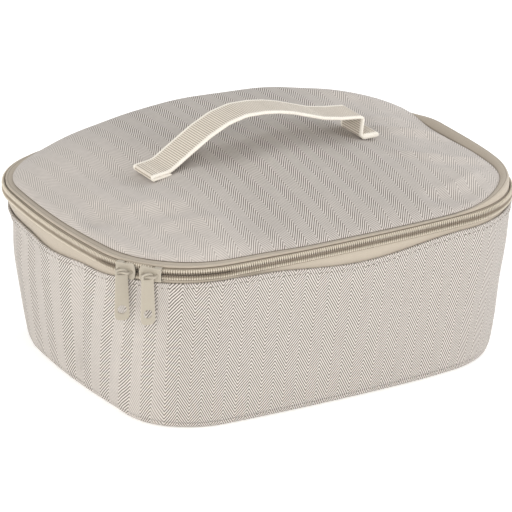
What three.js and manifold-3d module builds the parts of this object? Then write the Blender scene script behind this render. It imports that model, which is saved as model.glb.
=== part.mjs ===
// Soft cooler bag: a padded tub in herringbone cloth, a padded lid that opens on a cloth hinge at the back,
// a two-way zip round the front and sides, and a webbing carry handle across the lid.
// Millimetres, +Z up, +X to the right along the front, origin on the floor under the middle of the bag.
import * as THREE from 'three';
import { mergeVertices } from 'three/addons/utils/BufferGeometryUtils.js';
import Module from 'manifold-3d';

// Driving sizes of the bag
const RIM_LENGTH = 290;
const RIM_DEPTH = 233;
const ZIP_HEIGHT = 105.5;
const FRONT_BOW_RADIUS = 1290;
const SIDE_BOW_RADIUS = 495;
const CORNER_RADIUS = 62;
const WALL_TAPER = 14.5;

// Layers, and the gap kept between two layers that are sewn together
const CLOTH = 0.9;
const TAPE = 0.7;
const FOAM = 6;
const LINER = 0.5;
const BINDING = 0.9;
const SEAM_GAP = 0.3;

// Tub
const BASE_EDGE_RADIUS = 4;
const BODY_TAPE_SHOWN = 10;
const BODY_TAPE_TUCK = 12;
const HEM_HEIGHT = 5;
const HEM_THICKNESS = 1.6;

// Lid: a soft dome from the edge of its cloth up to a crest that lies nearer the back
const LID_EDGE_INSET = 2.5;
const LID_RISE = 30;
const LID_CREST_X = 10;
const LID_CREST_Y = 35;
const LID_TAPE_SLOPE = 0.2;
const LID_TAPE_LAP = 2.5;
const LID_PADDING_INSET = 6;

// How squarely the dome comes down to its edge, in order from the middle of the back: back, left back corner,
// left, left front corner, front, right front corner, right, right back corner. A number near 1 makes a ramp.
const LID_SQUARENESS = [6, 3.3, 2.5, 2.3, 2.2, 1.9, 2, 3.6];

// Zip chain, and the sliders with their pulls
const COIL_WIDTH = 2.85;
const COIL_THICKNESS = 2.1;
const COIL_PARTING = 0.3;
const HINGE_LENGTH = 150;
const STOP_LENGTH = 3;
const SLIDER_PLACE = 0.349;
const SLIDER_LENGTH = 14;
const SLIDER_PLATE = 1.1;
const SLIDER_SHOULDER = 0.7;
const SLIDER_NOSE_GAP = 1.4;
const SLIDER_CLEARANCE = 0.5;
const NECK_WIDTH = 2.2;
const NECK_LENGTH = 3.4;
const NECK_CLEARANCE = 0.5;
const FLANGE_WIDTH = 0.8;
const FLANGE_LENGTH = 4.5;
const BRIDGE_ROD = 1.6;
const BRIDGE_SPAN = 8.8;
const BRIDGE_FOOT = 2.4;
const PULL_LENGTH = 33;
const PULL_BOTTOM_WIDTH = 9.2;
const PULL_CORNER = 4;
const PULL_THICKNESS = 1.4;
const PULL_EYE_WALL = 1.2;
const PULL_HOLE = 5.5;
const PULL_HOLE_RISE = 7;
const PULL_TURN = THREE.MathUtils.degToRad(40);
const PULL_CLEARANCE = 0.3;

// Carry handle
const STRAP_WIDTH = 25;
const STRAP_THICKNESS = 1.8;
const HANDLE_LEFT = -79;
const HANDLE_RIGHT = 70;
const HANDLE_APEX = -9;
const HANDLE_RISE = 22.5;
const HANDLE_RIGHT_RISE = 13.5;
const HANDLE_TAIL = 12;
const STRAP_FOLD_RADIUS = 1.6;
const STRAP_BEND_RADIUS = 3;
const STRAP_SWEEP = 0.385;

// Facets along each stretch of the outline
const BOW_STEPS = 4;
const CORNER_STEPS = 7;

const wasm = await Module();
wasm.setup();

// The outline at the zip is eight arcs that meet smoothly: four slightly bowed sides and four round corners.
// A line parallel to it keeps the arcs' centres, so every layer of the bag follows the same arcs.
const halfLength = RIM_LENGTH / 2;
const halfDepth = RIM_DEPTH / 2;
const frontCentre = new THREE.Vector2(0, -halfDepth + FRONT_BOW_RADIUS);
const sideCentre = new THREE.Vector2(-halfLength + SIDE_BOW_RADIUS, 0);

function cornerCentre() {
  const fromFront = FRONT_BOW_RADIUS - CORNER_RADIUS;
  const fromSide = SIDE_BOW_RADIUS - CORNER_RADIUS;
  const between = sideCentre.clone().sub(frontCentre);
  const distance = between.length();
  const along = (fromFront ** 2 - fromSide ** 2 + distance ** 2) / (2 * distance);
  const across = Math.sqrt(fromFront ** 2 - along ** 2);
  const unit = between.divideScalar(distance);
  const foot = frontCentre.clone().addScaledVector(unit, along);
  return foot.add(new THREE.Vector2(unit.y, -unit.x).multiplyScalar(across));
}

const corner = cornerCentre();
const cornerStart = Math.PI + Math.atan2(sideCentre.y - corner.y, sideCentre.x - corner.x);
const cornerEnd = Math.PI + Math.atan2(frontCentre.y - corner.y, frontCentre.x - corner.x);

function arc(x, y, radius, from, to, steps) {
  return { x, y, radius, from, to, steps };
}

// Arcs in order from the middle of the back, round the left side, the front and the right side
function outlineArcs() {
  const half = Math.PI / 2;
  const turn = 2 * Math.PI;
  const bow = FRONT_BOW_RADIUS;
  const side = SIDE_BOW_RADIUS;
  const round = CORNER_RADIUS;
  return [
    arc(0, -frontCentre.y, bow, half, turn - cornerEnd, BOW_STEPS / 2),
    arc(corner.x, -corner.y, round, turn - cornerEnd, turn - cornerStart, CORNER_STEPS),
    arc(sideCentre.x, 0, side, turn - cornerStart, cornerStart, BOW_STEPS),
    arc(corner.x, corner.y, round, cornerStart, cornerEnd, CORNER_STEPS),
    arc(0, frontCentre.y, bow, cornerEnd, 3 * Math.PI - cornerEnd, BOW_STEPS),
    arc(-corner.x, corner.y, round, 3 * Math.PI - cornerEnd, 3 * Math.PI - cornerStart, CORNER_STEPS),
    arc(-sideCentre.x, 0, side, 3 * Math.PI - cornerStart, Math.PI + cornerStart, BOW_STEPS),
    arc(-corner.x, -corner.y, round, Math.PI + cornerStart, Math.PI + cornerEnd, CORNER_STEPS),
    arc(0, -frontCentre.y, bow, Math.PI + cornerEnd, 5 * half, BOW_STEPS / 2),
  ];
}

const arcs = outlineArcs();
const sliderArc = arcs[3];

const arcLength = (part) => part.radius * (part.to - part.from);
const outlineLength = arcs.reduce((sum, part) => sum + arcLength(part), 0);

// Distance along the outline, from the middle of the back, at which an arc starts
function arcStart(onArc) {
  return arcs.slice(0, arcs.indexOf(onArc)).reduce((sum, part) => sum + arcLength(part), 0);
}

function stationAt(onArc, angle) {
  const run = arcStart(onArc) + onArc.radius * (angle - onArc.from);
  return { arc: onArc, angle, run };
}

// Station at a distance along the outline, which may be negative for the right half of the back
function stationAtRun(distance) {
  const along = (distance + outlineLength) % outlineLength;
  const onArc = arcs.findLast((part) => arcStart(part) <= along);
  const angle = onArc.from + (along - arcStart(onArc)) / onArc.radius;
  return { arc: onArc, angle, run: distance };
}

// Point of the line parallel to the outline, a given offset outside it
function pointAt(station, offset) {
  const reach = station.arc.radius + offset;
  const x = station.arc.x + reach * Math.cos(station.angle);
  const y = station.arc.y + reach * Math.sin(station.angle);
  return new THREE.Vector2(x, y);
}

function closedStations() {
  return arcs.flatMap((part) => Array.from({ length: part.steps }, (_, i) => {
    return stationAt(part, THREE.MathUtils.lerp(part.from, part.to, i / part.steps));
  }));
}

// Stations between two distances along the outline, with both ends and with any extra ones put in order
function stationsBetween(from, to, extra = []) {
  const least = 0.2;
  const wrapped = closedStations().map((station) => {
    const run = from < 0 && station.run > outlineLength / 2 ? station.run - outlineLength : station.run;
    return { ...station, run };
  });
  const inside = [...wrapped, ...extra].filter(({ run }) => run > from + least && run < to - least);
  inside.sort((a, b) => a.run - b.run);
  return [stationAtRun(from), ...inside, stationAtRun(to)];
}

// The zip runs from one end of the cloth hinge, round the left side, the front and the right side, to the other
const zipEnd = HINGE_LENGTH / 2;
const zipStations = (trim, extra) => stationsBetween(zipEnd + trim, outlineLength - zipEnd - trim, extra);
const hingeStations = () => stationsBetween(SEAM_GAP - zipEnd, zipEnd - SEAM_GAP);

function signedVolume(positions, triangles) {
  const [a, b, c] = [new THREE.Vector3(), new THREE.Vector3(), new THREE.Vector3()];
  let sum = 0;
  for (let i = 0; i < triangles.length; i += 3) {
    a.fromArray(positions, 3 * triangles[i]);
    b.fromArray(positions, 3 * triangles[i + 1]);
    c.fromArray(positions, 3 * triangles[i + 2]);
    sum += a.dot(b.cross(c)) / 6;
  }
  return sum;
}

function meshGeometry(positions, triangles) {
  const outward = signedVolume(positions, triangles) > 0;
  const index = outward ? triangles : [...triangles].reverse();
  const geometry = new THREE.BufferGeometry();
  geometry.setAttribute('position', new THREE.Float32BufferAttribute(positions, 3));
  geometry.setIndex(index);
  geometry.computeVertexNormals();
  return geometry;
}

// Closed skin over a row of rings that all have the same number of points, with each four-sided cell cut along
// its shorter diagonal. The first and last rings are joined to each other in a loop, or closed by a flat cap or
// by a single middle point each.
function skin(rings, ends) {
  const size = rings[0].length;
  const positions = rings.flat().flatMap((point) => [point.x, point.y, point.z]);
  const triangles = [];
  const loops = ends === 'loop' ? rings.length : rings.length - 1;
  for (let i = 0; i < loops; i += 1) {
    const ring = rings[i];
    const nextRing = rings[(i + 1) % rings.length];
    const here = i * size;
    const next = ((i + 1) % rings.length) * size;
    for (let j = 0; j < size; j += 1) {
      const k = (j + 1) % size;
      if (ring[j].distanceTo(nextRing[k]) < nextRing[j].distanceTo(ring[k])) {
        triangles.push(here + j, next + j, next + k, here + j, next + k, here + k);
      } else {
        triangles.push(here + j, next + j, here + k, next + j, next + k, here + k);
      }
    }
  }
  if (ends === 'loop') return meshGeometry(positions, triangles);
  const lastRing = (rings.length - 1) * size;
  const first = ends.first ?? rings[0][0];
  const last = ends.last ?? rings.at(-1)[0];
  positions.push(first.x, first.y, first.z, last.x, last.y, last.z);
  const firstPoint = rings.length * size;
  for (let j = 0; j < size; j += 1) {
    const k = (j + 1) % size;
    triangles.push(firstPoint, j, k, firstPoint + 1, lastRing + k, lastRing + j);
  }
  return meshGeometry(positions, triangles);
}

function lifted(point, z) {
  return new THREE.Vector3(point.x, point.y, z);
}

// Ring-shaped piece: a section of [offset, height] points carried all the way round the outline
function ringPiece(section) {
  const stations = closedStations();
  const rings = section.map(([offset, z]) => stations.map((station) => lifted(pointAt(station, offset), z)));
  return skin(rings, 'loop');
}

// Flat or bowl-shaped piece: rings from the middle of the underside, over the edge, to the middle of the top
function cappedPiece(rings) {
  const under = new THREE.Vector3(0, 0, rings[0][0].z);
  const over = new THREE.Vector3(0, 0, rings.at(-1)[0].z);
  return skin(rings, { first: under, last: over });
}

// Strip that runs along some stations and ends square: its section may change from station to station
function stripPiece(stations, sectionAt) {
  const rings = stations.map((station) => {
    const section = sectionAt(station);
    return section.map(([offset, z]) => lifted(pointAt(station, offset), z));
  });
  const middle = (ring) => ring.reduce((sum, point) => sum.add(point), new THREE.Vector3());
  const first = middle(rings[0]).divideScalar(rings[0].length);
  const last = middle(rings.at(-1)).divideScalar(rings[0].length);
  return skin(rings, { first, last });
}

// Sizes that the slider takes from the chain that it runs on
const partedBy = NECK_WIDTH / 2 + NECK_CLEARANCE;
const rowReach = COIL_PARTING / 2 + COIL_WIDTH;
const sliderHeight = 2 * (rowReach + partedBy + SLIDER_SHOULDER);
const sliderRearHeight = 2 * (rowReach + SLIDER_CLEARANCE + FLANGE_WIDTH);
const tapeParting = NECK_WIDTH + 2 * NECK_CLEARANCE;

// Heights and offsets of the tub's layers. The tape's outer face is the outline itself beside the chain,
// where the tape stands upright for the sliders, and leans in below that.
const zipFlat = sliderHeight / 2 + SLIDER_CLEARANCE;
const leanTop = ZIP_HEIGHT - zipFlat;
const tapeFace = (z) => (z >= leanTop ? 0 : -WALL_TAPER * (1 - z / leanTop));
const clothFace = (z) => tapeFace(z) + SEAM_GAP + CLOTH;
const foamFace = (z) => tapeFace(z) - TAPE - SEAM_GAP;
const linerFace = (z) => foamFace(z) - FOAM - SEAM_GAP;
const clothTop = ZIP_HEIGHT - BODY_TAPE_SHOWN;
const clothBottom = BASE_EDGE_RADIUS + SEAM_GAP;
const bodyTapeTop = ZIP_HEIGHT - tapeParting / 2;
const bodyTapeBottom = clothTop - BODY_TAPE_TUCK;
const foamTop = leanTop - BINDING - SEAM_GAP;
const foamBottom = CLOTH + SEAM_GAP;
const baseFoamTop = foamBottom + FOAM;
const baseLinerTop = baseFoamTop + SEAM_GAP + LINER;
const linerBottom = baseLinerTop + SEAM_GAP;

function sideWall() {
  const hemFoot = clothTop - HEM_HEIGHT;
  const hemFace = (z) => tapeFace(z) + SEAM_GAP + HEM_THICKNESS;
  return ringPiece([
    [clothFace(clothBottom), clothBottom],
    [clothFace(hemFoot), hemFoot],
    [hemFace(clothTop - HEM_HEIGHT / 2), clothTop - HEM_HEIGHT / 2],
    [clothFace(clothTop), clothTop],
    [clothFace(clothTop) - CLOTH, clothTop],
    [clothFace(clothBottom) - CLOTH, clothBottom],
  ]);
}

// Cloth floor of the bag, turned up round its edge to meet the wall at the bottom seam
function basePanel() {
  const stations = closedStations();
  const face = clothFace(0);
  const turnSteps = 3;
  const turnCentre = face - BASE_EDGE_RADIUS;
  const turnedEdge = (radius) => {
    const points = [];
    for (let i = 0; i <= turnSteps; i += 1) {
      const angle = (i / turnSteps) * (Math.PI / 2);
      points.push([turnCentre + radius * Math.sin(angle), BASE_EDGE_RADIUS - radius * Math.cos(angle)]);
    }
    return points;
  };
  const outer = turnedEdge(BASE_EDGE_RADIUS);
  const inner = turnedEdge(BASE_EDGE_RADIUS - CLOTH).reverse();
  const rings = [...outer, ...inner];
  const ringAt = ([offset, z]) => stations.map((station) => lifted(pointAt(station, offset), z));
  return cappedPiece(rings.map(ringAt));
}

function wallFoam() {
  const edge = clothBottom + SEAM_GAP;
  const toe = foamFace(foamBottom) - BASE_EDGE_RADIUS / 2;
  return ringPiece([
    [toe, foamBottom],
    [foamFace(edge), edge],
    [foamFace(foamTop), foamTop],
    [foamFace(foamTop) - FOAM, foamTop],
    [foamFace(foamBottom) - FOAM, foamBottom],
  ]);
}

function slab(offset, bottom, top) {
  const stations = closedStations();
  const ring = (z) => stations.map((station) => lifted(pointAt(station, offset), z));
  return cappedPiece([ring(bottom), ring(top)]);
}

function wallLiner() {
  return ringPiece([
    [linerFace(linerBottom), linerBottom],
    [linerFace(foamTop), foamTop],
    [linerFace(foamTop) - LINER, foamTop],
    [linerFace(linerBottom) - LINER, linerBottom],
  ]);
}

// Binding over the top edges of the tub's foam and liner
function rimBinding() {
  const bottom = foamTop + SEAM_GAP;
  const outer = foamFace(foamTop);
  const inner = linerFace(foamTop) - LINER;
  return ringPiece([
    [outer, bottom],
    [outer, bottom + BINDING],
    [inner, bottom + BINDING],
    [inner, bottom],
  ]);
}

// Squareness of the dome at a distance along the outline, blended from mark to mark
const arcMiddle = (part) => arcStart(part) + arcLength(part) / 2;
const squarenessRuns = [0, ...arcs.slice(1, -1).map(arcMiddle), outlineLength];
const squarenessMarks = [...LID_SQUARENESS, LID_SQUARENESS[0]];

function squarenessAt(run) {
  const along = (run + outlineLength) % outlineLength;
  const next = squarenessRuns.findIndex((mark) => mark > along);
  const share = THREE.MathUtils.smoothstep(along, squarenessRuns[next - 1], squarenessRuns[next]);
  return THREE.MathUtils.lerp(squarenessMarks[next - 1], squarenessMarks[next], share);
}

// Every station has a spoke from the crest to the edge of the lid's cloth, and the dome falls along it
const lidEdgeHeight = zipFlat + LID_EDGE_INSET * LID_TAPE_SLOPE + CLOTH + SEAM_GAP;
const lidFall = LID_RISE - lidEdgeHeight;
const lidCrest = new THREE.Vector2(LID_CREST_X, LID_CREST_Y);
const lidShares = [0.86, 0.74, 0.56, 0.36, 0.16];
const lidSpoke = (station) => pointAt(station, -LID_EDGE_INSET).sub(lidCrest);

// Point of the lid at a share of its spoke from the crest, and at a depth straight in from the outer face
function lidPoint(station, share, depth) {
  const spoke = lidSpoke(station);
  const reach = spoke.length();
  const power = squarenessAt(station.run);
  const steep = lidFall * power * share ** (power - 1) / reach;
  const upright = 1 / Math.hypot(1, steep);
  const out = share * reach - depth * steep * upright;
  const plan = lidCrest.clone().addScaledVector(spoke, out / reach);
  return lifted(plan, ZIP_HEIGHT + LID_RISE - lidFall * share ** power - depth * upright);
}

// Ring of the lid a distance in from the edge of its cloth
function lidRing(inset, depth) {
  return closedStations().map((station) => lidPoint(station, 1 - inset / lidSpoke(station).length(), depth));
}

// Rings of one face of a lid layer, from its edge to near the crest
function lidFace(insets, depth) {
  const stations = closedStations();
  const inner = lidShares.map((share) => stations.map((station) => lidPoint(station, share, depth)));
  return [...insets.map((inset) => lidRing(inset, depth)), ...inner];
}

function lidLayer(insets, depth, thickness) {
  const under = lidFace(insets, depth + thickness).reverse();
  const over = lidFace(insets, depth);
  const first = lifted(lidCrest, ZIP_HEIGHT + LID_RISE - depth - thickness);
  const last = lifted(lidCrest, ZIP_HEIGHT + LID_RISE - depth);
  return skin([...under, ...over], { first, last });
}

const lidFoamDepth = CLOTH + SEAM_GAP;
const lidLinerDepth = lidFoamDepth + FOAM + SEAM_GAP;

// Binding over the edges of the lid's foam and liner, square to the lid
function lidBinding() {
  const near = LID_PADDING_INSET - SEAM_GAP;
  const far = near - BINDING;
  const top = lidFoamDepth;
  const foot = lidLinerDepth + LINER;
  return skin([lidRing(near, top), lidRing(far, top), lidRing(far, foot), lidRing(near, foot)], 'loop');
}

// The lid's zip tape turns in over the chain and laps under the edge of the lid's cloth
const lidTapeEnd = LID_EDGE_INSET + LID_TAPE_LAP;
const lidTapeEndHeight = ZIP_HEIGHT + zipFlat + lidTapeEnd * LID_TAPE_SLOPE;

const lidTapeSection = () => [
  [0, ZIP_HEIGHT + tapeParting / 2],
  [0, ZIP_HEIGHT + zipFlat],
  [-lidTapeEnd, lidTapeEndHeight],
  [-lidTapeEnd, lidTapeEndHeight - TAPE],
  [-TAPE, ZIP_HEIGHT + zipFlat],
  [-TAPE, ZIP_HEIGHT + tapeParting / 2],
];

const bodyTapeSection = () => [
  [0, bodyTapeTop],
  [-TAPE, bodyTapeTop],
  [-TAPE, leanTop],
  [tapeFace(bodyTapeBottom) - TAPE, bodyTapeBottom],
  [tapeFace(bodyTapeBottom), bodyTapeBottom],
  [0, leanTop],
];

// Cloth hinge: one strip in place of the two tapes across the middle of the back. It bulges out in a soft
// roll as deep as the chain, and the lid turns about the crest of that roll.
function hingeSection() {
  const rollDepth = SEAM_GAP + COIL_THICKNESS;
  const rollSteps = 4;
  const roll = Array.from({ length: rollSteps + 1 }, (_, i) => {
    const angle = Math.PI * (i / rollSteps - 0.5);
    return [rollDepth * Math.cos(angle), ZIP_HEIGHT + zipFlat * Math.sin(angle)];
  });
  const inner = roll.map(([offset, z]) => [offset - TAPE, z]).reverse();
  return [
    [tapeFace(bodyTapeBottom), bodyTapeBottom],
    ...roll,
    [-lidTapeEnd, lidTapeEndHeight],
    [-lidTapeEnd, lidTapeEndHeight - TAPE],
    ...inner,
    [tapeFace(bodyTapeBottom) - TAPE, bodyTapeBottom],
  ];
}

// The two rows of the chain part around the sliders' necks and meet again behind each slider
const sliderSpacing = SLIDER_LENGTH + SLIDER_NOSE_GAP;
const partingAngle = sliderArc.from + SLIDER_PLACE * (sliderArc.to - sliderArc.from);
const partedReach = SLIDER_NOSE_GAP / 2 + NECK_LENGTH + NECK_CLEARANCE;
const closedReach = SLIDER_NOSE_GAP / 2 + SLIDER_LENGTH - FLANGE_LENGTH / 2;
const sliderAngles = {
  left: partingAngle - sliderSpacing / 2 / CORNER_RADIUS,
  right: partingAngle + sliderSpacing / 2 / CORNER_RADIUS,
};

function rowSpread(station) {
  if (station.arc !== sliderArc) return 0;
  const distance = Math.abs(station.angle - partingAngle) * CORNER_RADIUS;
  return partedBy * (1 - THREE.MathUtils.smoothstep(distance, partedReach, closedReach));
}

function partingStations() {
  const count = 16;
  const reach = closedReach / CORNER_RADIUS;
  return Array.from({ length: count + 1 }, (_, i) => {
    return stationAt(sliderArc, partingAngle + reach * (2 * i / count - 1));
  });
}

// One row of the chain lies on the outer face of its tape, half round on top; side is +1 for the lid's row
function coilRow(side) {
  const stations = zipStations(STOP_LENGTH + SEAM_GAP, partingStations());
  const base = SEAM_GAP;
  const round = COIL_WIDTH / 4;
  return stripPiece(stations, (station) => {
    const near = COIL_PARTING / 2 + rowSpread(station);
    const far = near + COIL_WIDTH;
    const section = [
      [base, near],
      [base + COIL_THICKNESS - round, near],
      [base + COIL_THICKNESS, near + round],
      [base + COIL_THICKNESS, far - round],
      [base + COIL_THICKNESS - round, far],
      [base, far],
    ];
    return section.map(([offset, rise]) => [offset, ZIP_HEIGHT + side * rise]);
  });
}

// Small clip over the end of one row of the chain
function zipStop(side, end) {
  const from = end === 'left' ? zipEnd : outlineLength - zipEnd - STOP_LENGTH;
  const stations = stationsBetween(from, from + STOP_LENGTH);
  const near = ZIP_HEIGHT + side * COIL_PARTING / 2;
  const far = near + side * COIL_WIDTH;
  return stripPiece(stations, () => [
    [SEAM_GAP, near],
    [SEAM_GAP + COIL_THICKNESS, near],
    [SEAM_GAP + COIL_THICKNESS, far],
    [SEAM_GAP, far],
  ]);
}

// Solids for joining and cutting
function solidOf(geometry) {
  const bare = new THREE.BufferGeometry();
  bare.setAttribute('position', geometry.getAttribute('position').clone());
  if (geometry.index) bare.setIndex(geometry.index.clone());
  const merged = mergeVertices(bare, 1e-4);
  const vertProperties = new Float32Array(merged.getAttribute('position').array);
  const triVerts = new Uint32Array(merged.index.array);
  return new wasm.Manifold(new wasm.Mesh({ numProp: 3, vertProperties, triVerts }));
}

function geometryOf(solid) {
  const { vertProperties, triVerts, numProp } = solid.getMesh();
  const geometry = new THREE.BufferGeometry();
  geometry.setAttribute('position', new THREE.BufferAttribute(vertProperties, numProp));
  geometry.setIndex(new THREE.BufferAttribute(triVerts, 1));
  geometry.computeVertexNormals();
  return geometry;
}

const joined = (geometries) => geometryOf(geometries.map(solidOf).reduce((sum, next) => sum.add(next)));

function plate(shape, from, to, curveSegments = 3) {
  const geometry = new THREE.ExtrudeGeometry(shape, { depth: to - from, bevelEnabled: false, curveSegments });
  return geometry.translate(0, 0, from);
}

// Slider in its own axes: X towards the nose, Y across the chain and Z out of the bag, with the chain's
// middle as origin. The two plates hold the chain between them, and the neck at the nose parts its rows.
const chainBow = (SLIDER_LENGTH / 2) ** 2 / (2 * CORNER_RADIUS);
const cornerFacet = CORNER_RADIUS * (1 - Math.cos((sliderArc.to - sliderArc.from) / CORNER_STEPS / 2));
const innerPlateTop = -TAPE - chainBow - cornerFacet - SLIDER_CLEARANCE / 2;
const outerPlateBottom = SEAM_GAP + COIL_THICKNESS + SLIDER_CLEARANCE;
const outerPlateTop = outerPlateBottom + SLIDER_PLATE;
const rodPassage = BRIDGE_ROD + 2 * PULL_CLEARANCE + PULL_THICKNESS * Math.cos(PULL_TURN);
const pullEyeWidth = rodPassage / Math.sin(PULL_TURN);
const pullTopWidth = pullEyeWidth + 2 * PULL_EYE_WALL;
const pullHeadTop = BRIDGE_ROD / 2 + PULL_CLEARANCE + PULL_EYE_WALL;
const pullHeadReach = Math.hypot(pullTopWidth / 2 * Math.sin(PULL_TURN), PULL_THICKNESS);
const bridgeRise = Math.max(pullHeadReach, pullHeadTop) + PULL_THICKNESS / 2 + PULL_CLEARANCE;
const bridgeHeight = outerPlateTop + bridgeRise;

// Seen from outside, a slider plate is broad at the nose, narrower behind and round at both ends
function sliderPlateShape() {
  const nose = SLIDER_LENGTH / 2;
  const wide = sliderHeight / 2;
  const narrow = sliderRearHeight / 2;
  const shoulder = nose - NECK_LENGTH;
  const shape = new THREE.Shape();
  shape.moveTo(-nose, -narrow);
  shape.lineTo(shoulder - NECK_LENGTH, -narrow);
  shape.quadraticCurveTo(shoulder - NECK_LENGTH / 2, -wide, shoulder, -wide);
  shape.quadraticCurveTo(nose, -wide, nose, 0);
  shape.quadraticCurveTo(nose, wide, shoulder, wide);
  shape.quadraticCurveTo(shoulder - NECK_LENGTH / 2, wide, shoulder - NECK_LENGTH, narrow);
  shape.lineTo(-nose, narrow);
  shape.closePath();
  return shape;
}

function neckShape() {
  const nose = SLIDER_LENGTH / 2 - SLIDER_CLEARANCE;
  const shape = new THREE.Shape();
  shape.moveTo(nose - NECK_LENGTH, 0);
  shape.lineTo(nose - NECK_LENGTH / 2, -NECK_WIDTH / 2);
  shape.lineTo(nose, -NECK_WIDTH / 2);
  shape.lineTo(nose, NECK_WIDTH / 2);
  shape.lineTo(nose - NECK_LENGTH / 2, NECK_WIDTH / 2);
  shape.closePath();
  return shape;
}

function flangeShape(side) {
  const rear = -SLIDER_LENGTH / 2;
  const outer = side * sliderRearHeight / 2;
  const inner = outer - side * FLANGE_WIDTH;
  const shape = new THREE.Shape();
  shape.moveTo(rear, Math.min(outer, inner));
  shape.lineTo(rear + FLANGE_LENGTH, Math.min(outer, inner));
  shape.lineTo(rear + FLANGE_LENGTH, Math.max(outer, inner));
  shape.lineTo(rear, Math.max(outer, inner));
  shape.closePath();
  return shape;
}

// Bridge: a round rod across two legs, along the slider, which carries the pull's eye
function bridgePieces() {
  const sides = 10;
  const radius = BRIDGE_ROD / 2;
  const legFoot = outerPlateBottom + SLIDER_PLATE / 2;
  const legLength = bridgeHeight - legFoot;
  const rod = new THREE.CylinderGeometry(radius, radius, BRIDGE_SPAN, sides).rotateZ(Math.PI / 2);
  const legs = [-1, 1].map((side) => {
    const leg = new THREE.CylinderGeometry(radius, BRIDGE_FOOT / 2, legLength, sides).rotateX(Math.PI / 2);
    return leg.translate(side * BRIDGE_SPAN / 2, 0, legFoot + legLength / 2);
  });
  const knuckles = [-1, 1].map((side) => {
    const knuckle = new THREE.SphereGeometry(radius, sides, sides / 2);
    return knuckle.translate(side * BRIDGE_SPAN / 2, 0, bridgeHeight);
  });
  return [rod.translate(0, 0, bridgeHeight), ...legs, ...knuckles];
}

function sliderGeometry() {
  const overlap = SLIDER_PLATE / 2;
  const flangeFoot = SEAM_GAP;
  return joined([
    plate(sliderPlateShape(), innerPlateTop - SLIDER_PLATE, innerPlateTop),
    plate(sliderPlateShape(), outerPlateBottom, outerPlateTop),
    plate(neckShape(), innerPlateTop - overlap, outerPlateBottom + overlap),
    plate(flangeShape(1), flangeFoot, outerPlateBottom + overlap),
    plate(flangeShape(-1), flangeFoot, outerPlateBottom + overlap),
    ...bridgePieces(),
  ]);
}

// Pull in its own axes: hanging along -Y from the rod at its origin, a flat tapered tab with an eye
// at the top for the bridge and a round hole near the lower end
function pullGeometry() {
  const top = pullTopWidth / 2;
  const bottom = PULL_BOTTOM_WIDTH / 2;
  const foot = pullHeadTop - PULL_LENGTH;
  const cornerCut = PULL_CORNER;
  const shape = new THREE.Shape();
  shape.moveTo(-top, 0);
  shape.lineTo(-bottom, foot + cornerCut);
  shape.quadraticCurveTo(-bottom, foot, cornerCut - bottom, foot);
  shape.lineTo(bottom - cornerCut, foot);
  shape.quadraticCurveTo(bottom, foot, bottom, foot + cornerCut);
  shape.lineTo(top, 0);
  shape.quadraticCurveTo(top, pullHeadTop, 0, pullHeadTop);
  shape.quadraticCurveTo(-top, pullHeadTop, -top, 0);
  shape.closePath();

  const eye = new THREE.Path();
  const eyeTop = BRIDGE_ROD / 2 + PULL_CLEARANCE;
  const eyeFoot = -eyeTop - PULL_CLEARANCE;
  eye.moveTo(-pullEyeWidth / 2, eyeFoot);
  eye.lineTo(-pullEyeWidth / 2, eyeTop / 2);
  eye.quadraticCurveTo(-pullEyeWidth / 2, eyeTop, 0, eyeTop);
  eye.quadraticCurveTo(pullEyeWidth / 2, eyeTop, pullEyeWidth / 2, eyeTop / 2);
  eye.lineTo(pullEyeWidth / 2, eyeFoot);
  eye.closePath();

  const hole = new THREE.Path();
  hole.absellipse(0, foot + PULL_HOLE_RISE, PULL_HOLE / 2, PULL_HOLE / 2, 0, 2 * Math.PI, true);
  shape.holes.push(eye, hole);
  return plate(shape, -PULL_THICKNESS / 2, PULL_THICKNESS / 2, 5);
}

// Height of the strap's middle where it lies on the lid, clear of the lid across the strap's whole width
const lidCloth = new THREE.Mesh(lidLayer([0, LID_PADDING_INSET], 0, CLOTH));

function strapFloorAt(x) {
  const acrossSteps = 6;
  const down = new THREE.Vector3(0, 0, -1);
  const heights = Array.from({ length: acrossSteps + 1 }, (_, i) => {
    const y = STRAP_WIDTH * (i / acrossSteps - 0.5);
    const above = new THREE.Vector3(x, y, ZIP_HEIGHT + LID_RISE + STRAP_WIDTH);
    const [hit] = new THREE.Raycaster(above, down).intersectObject(lidCloth);
    return hit.point.z;
  });
  return Math.max(...heights) + SEAM_GAP + STRAP_THICKNESS / 2;
}

function arcPath(x, z, radius, from, to) {
  return new THREE.EllipseCurve(x, z, radius, radius, from, to, to < from);
}

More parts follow.
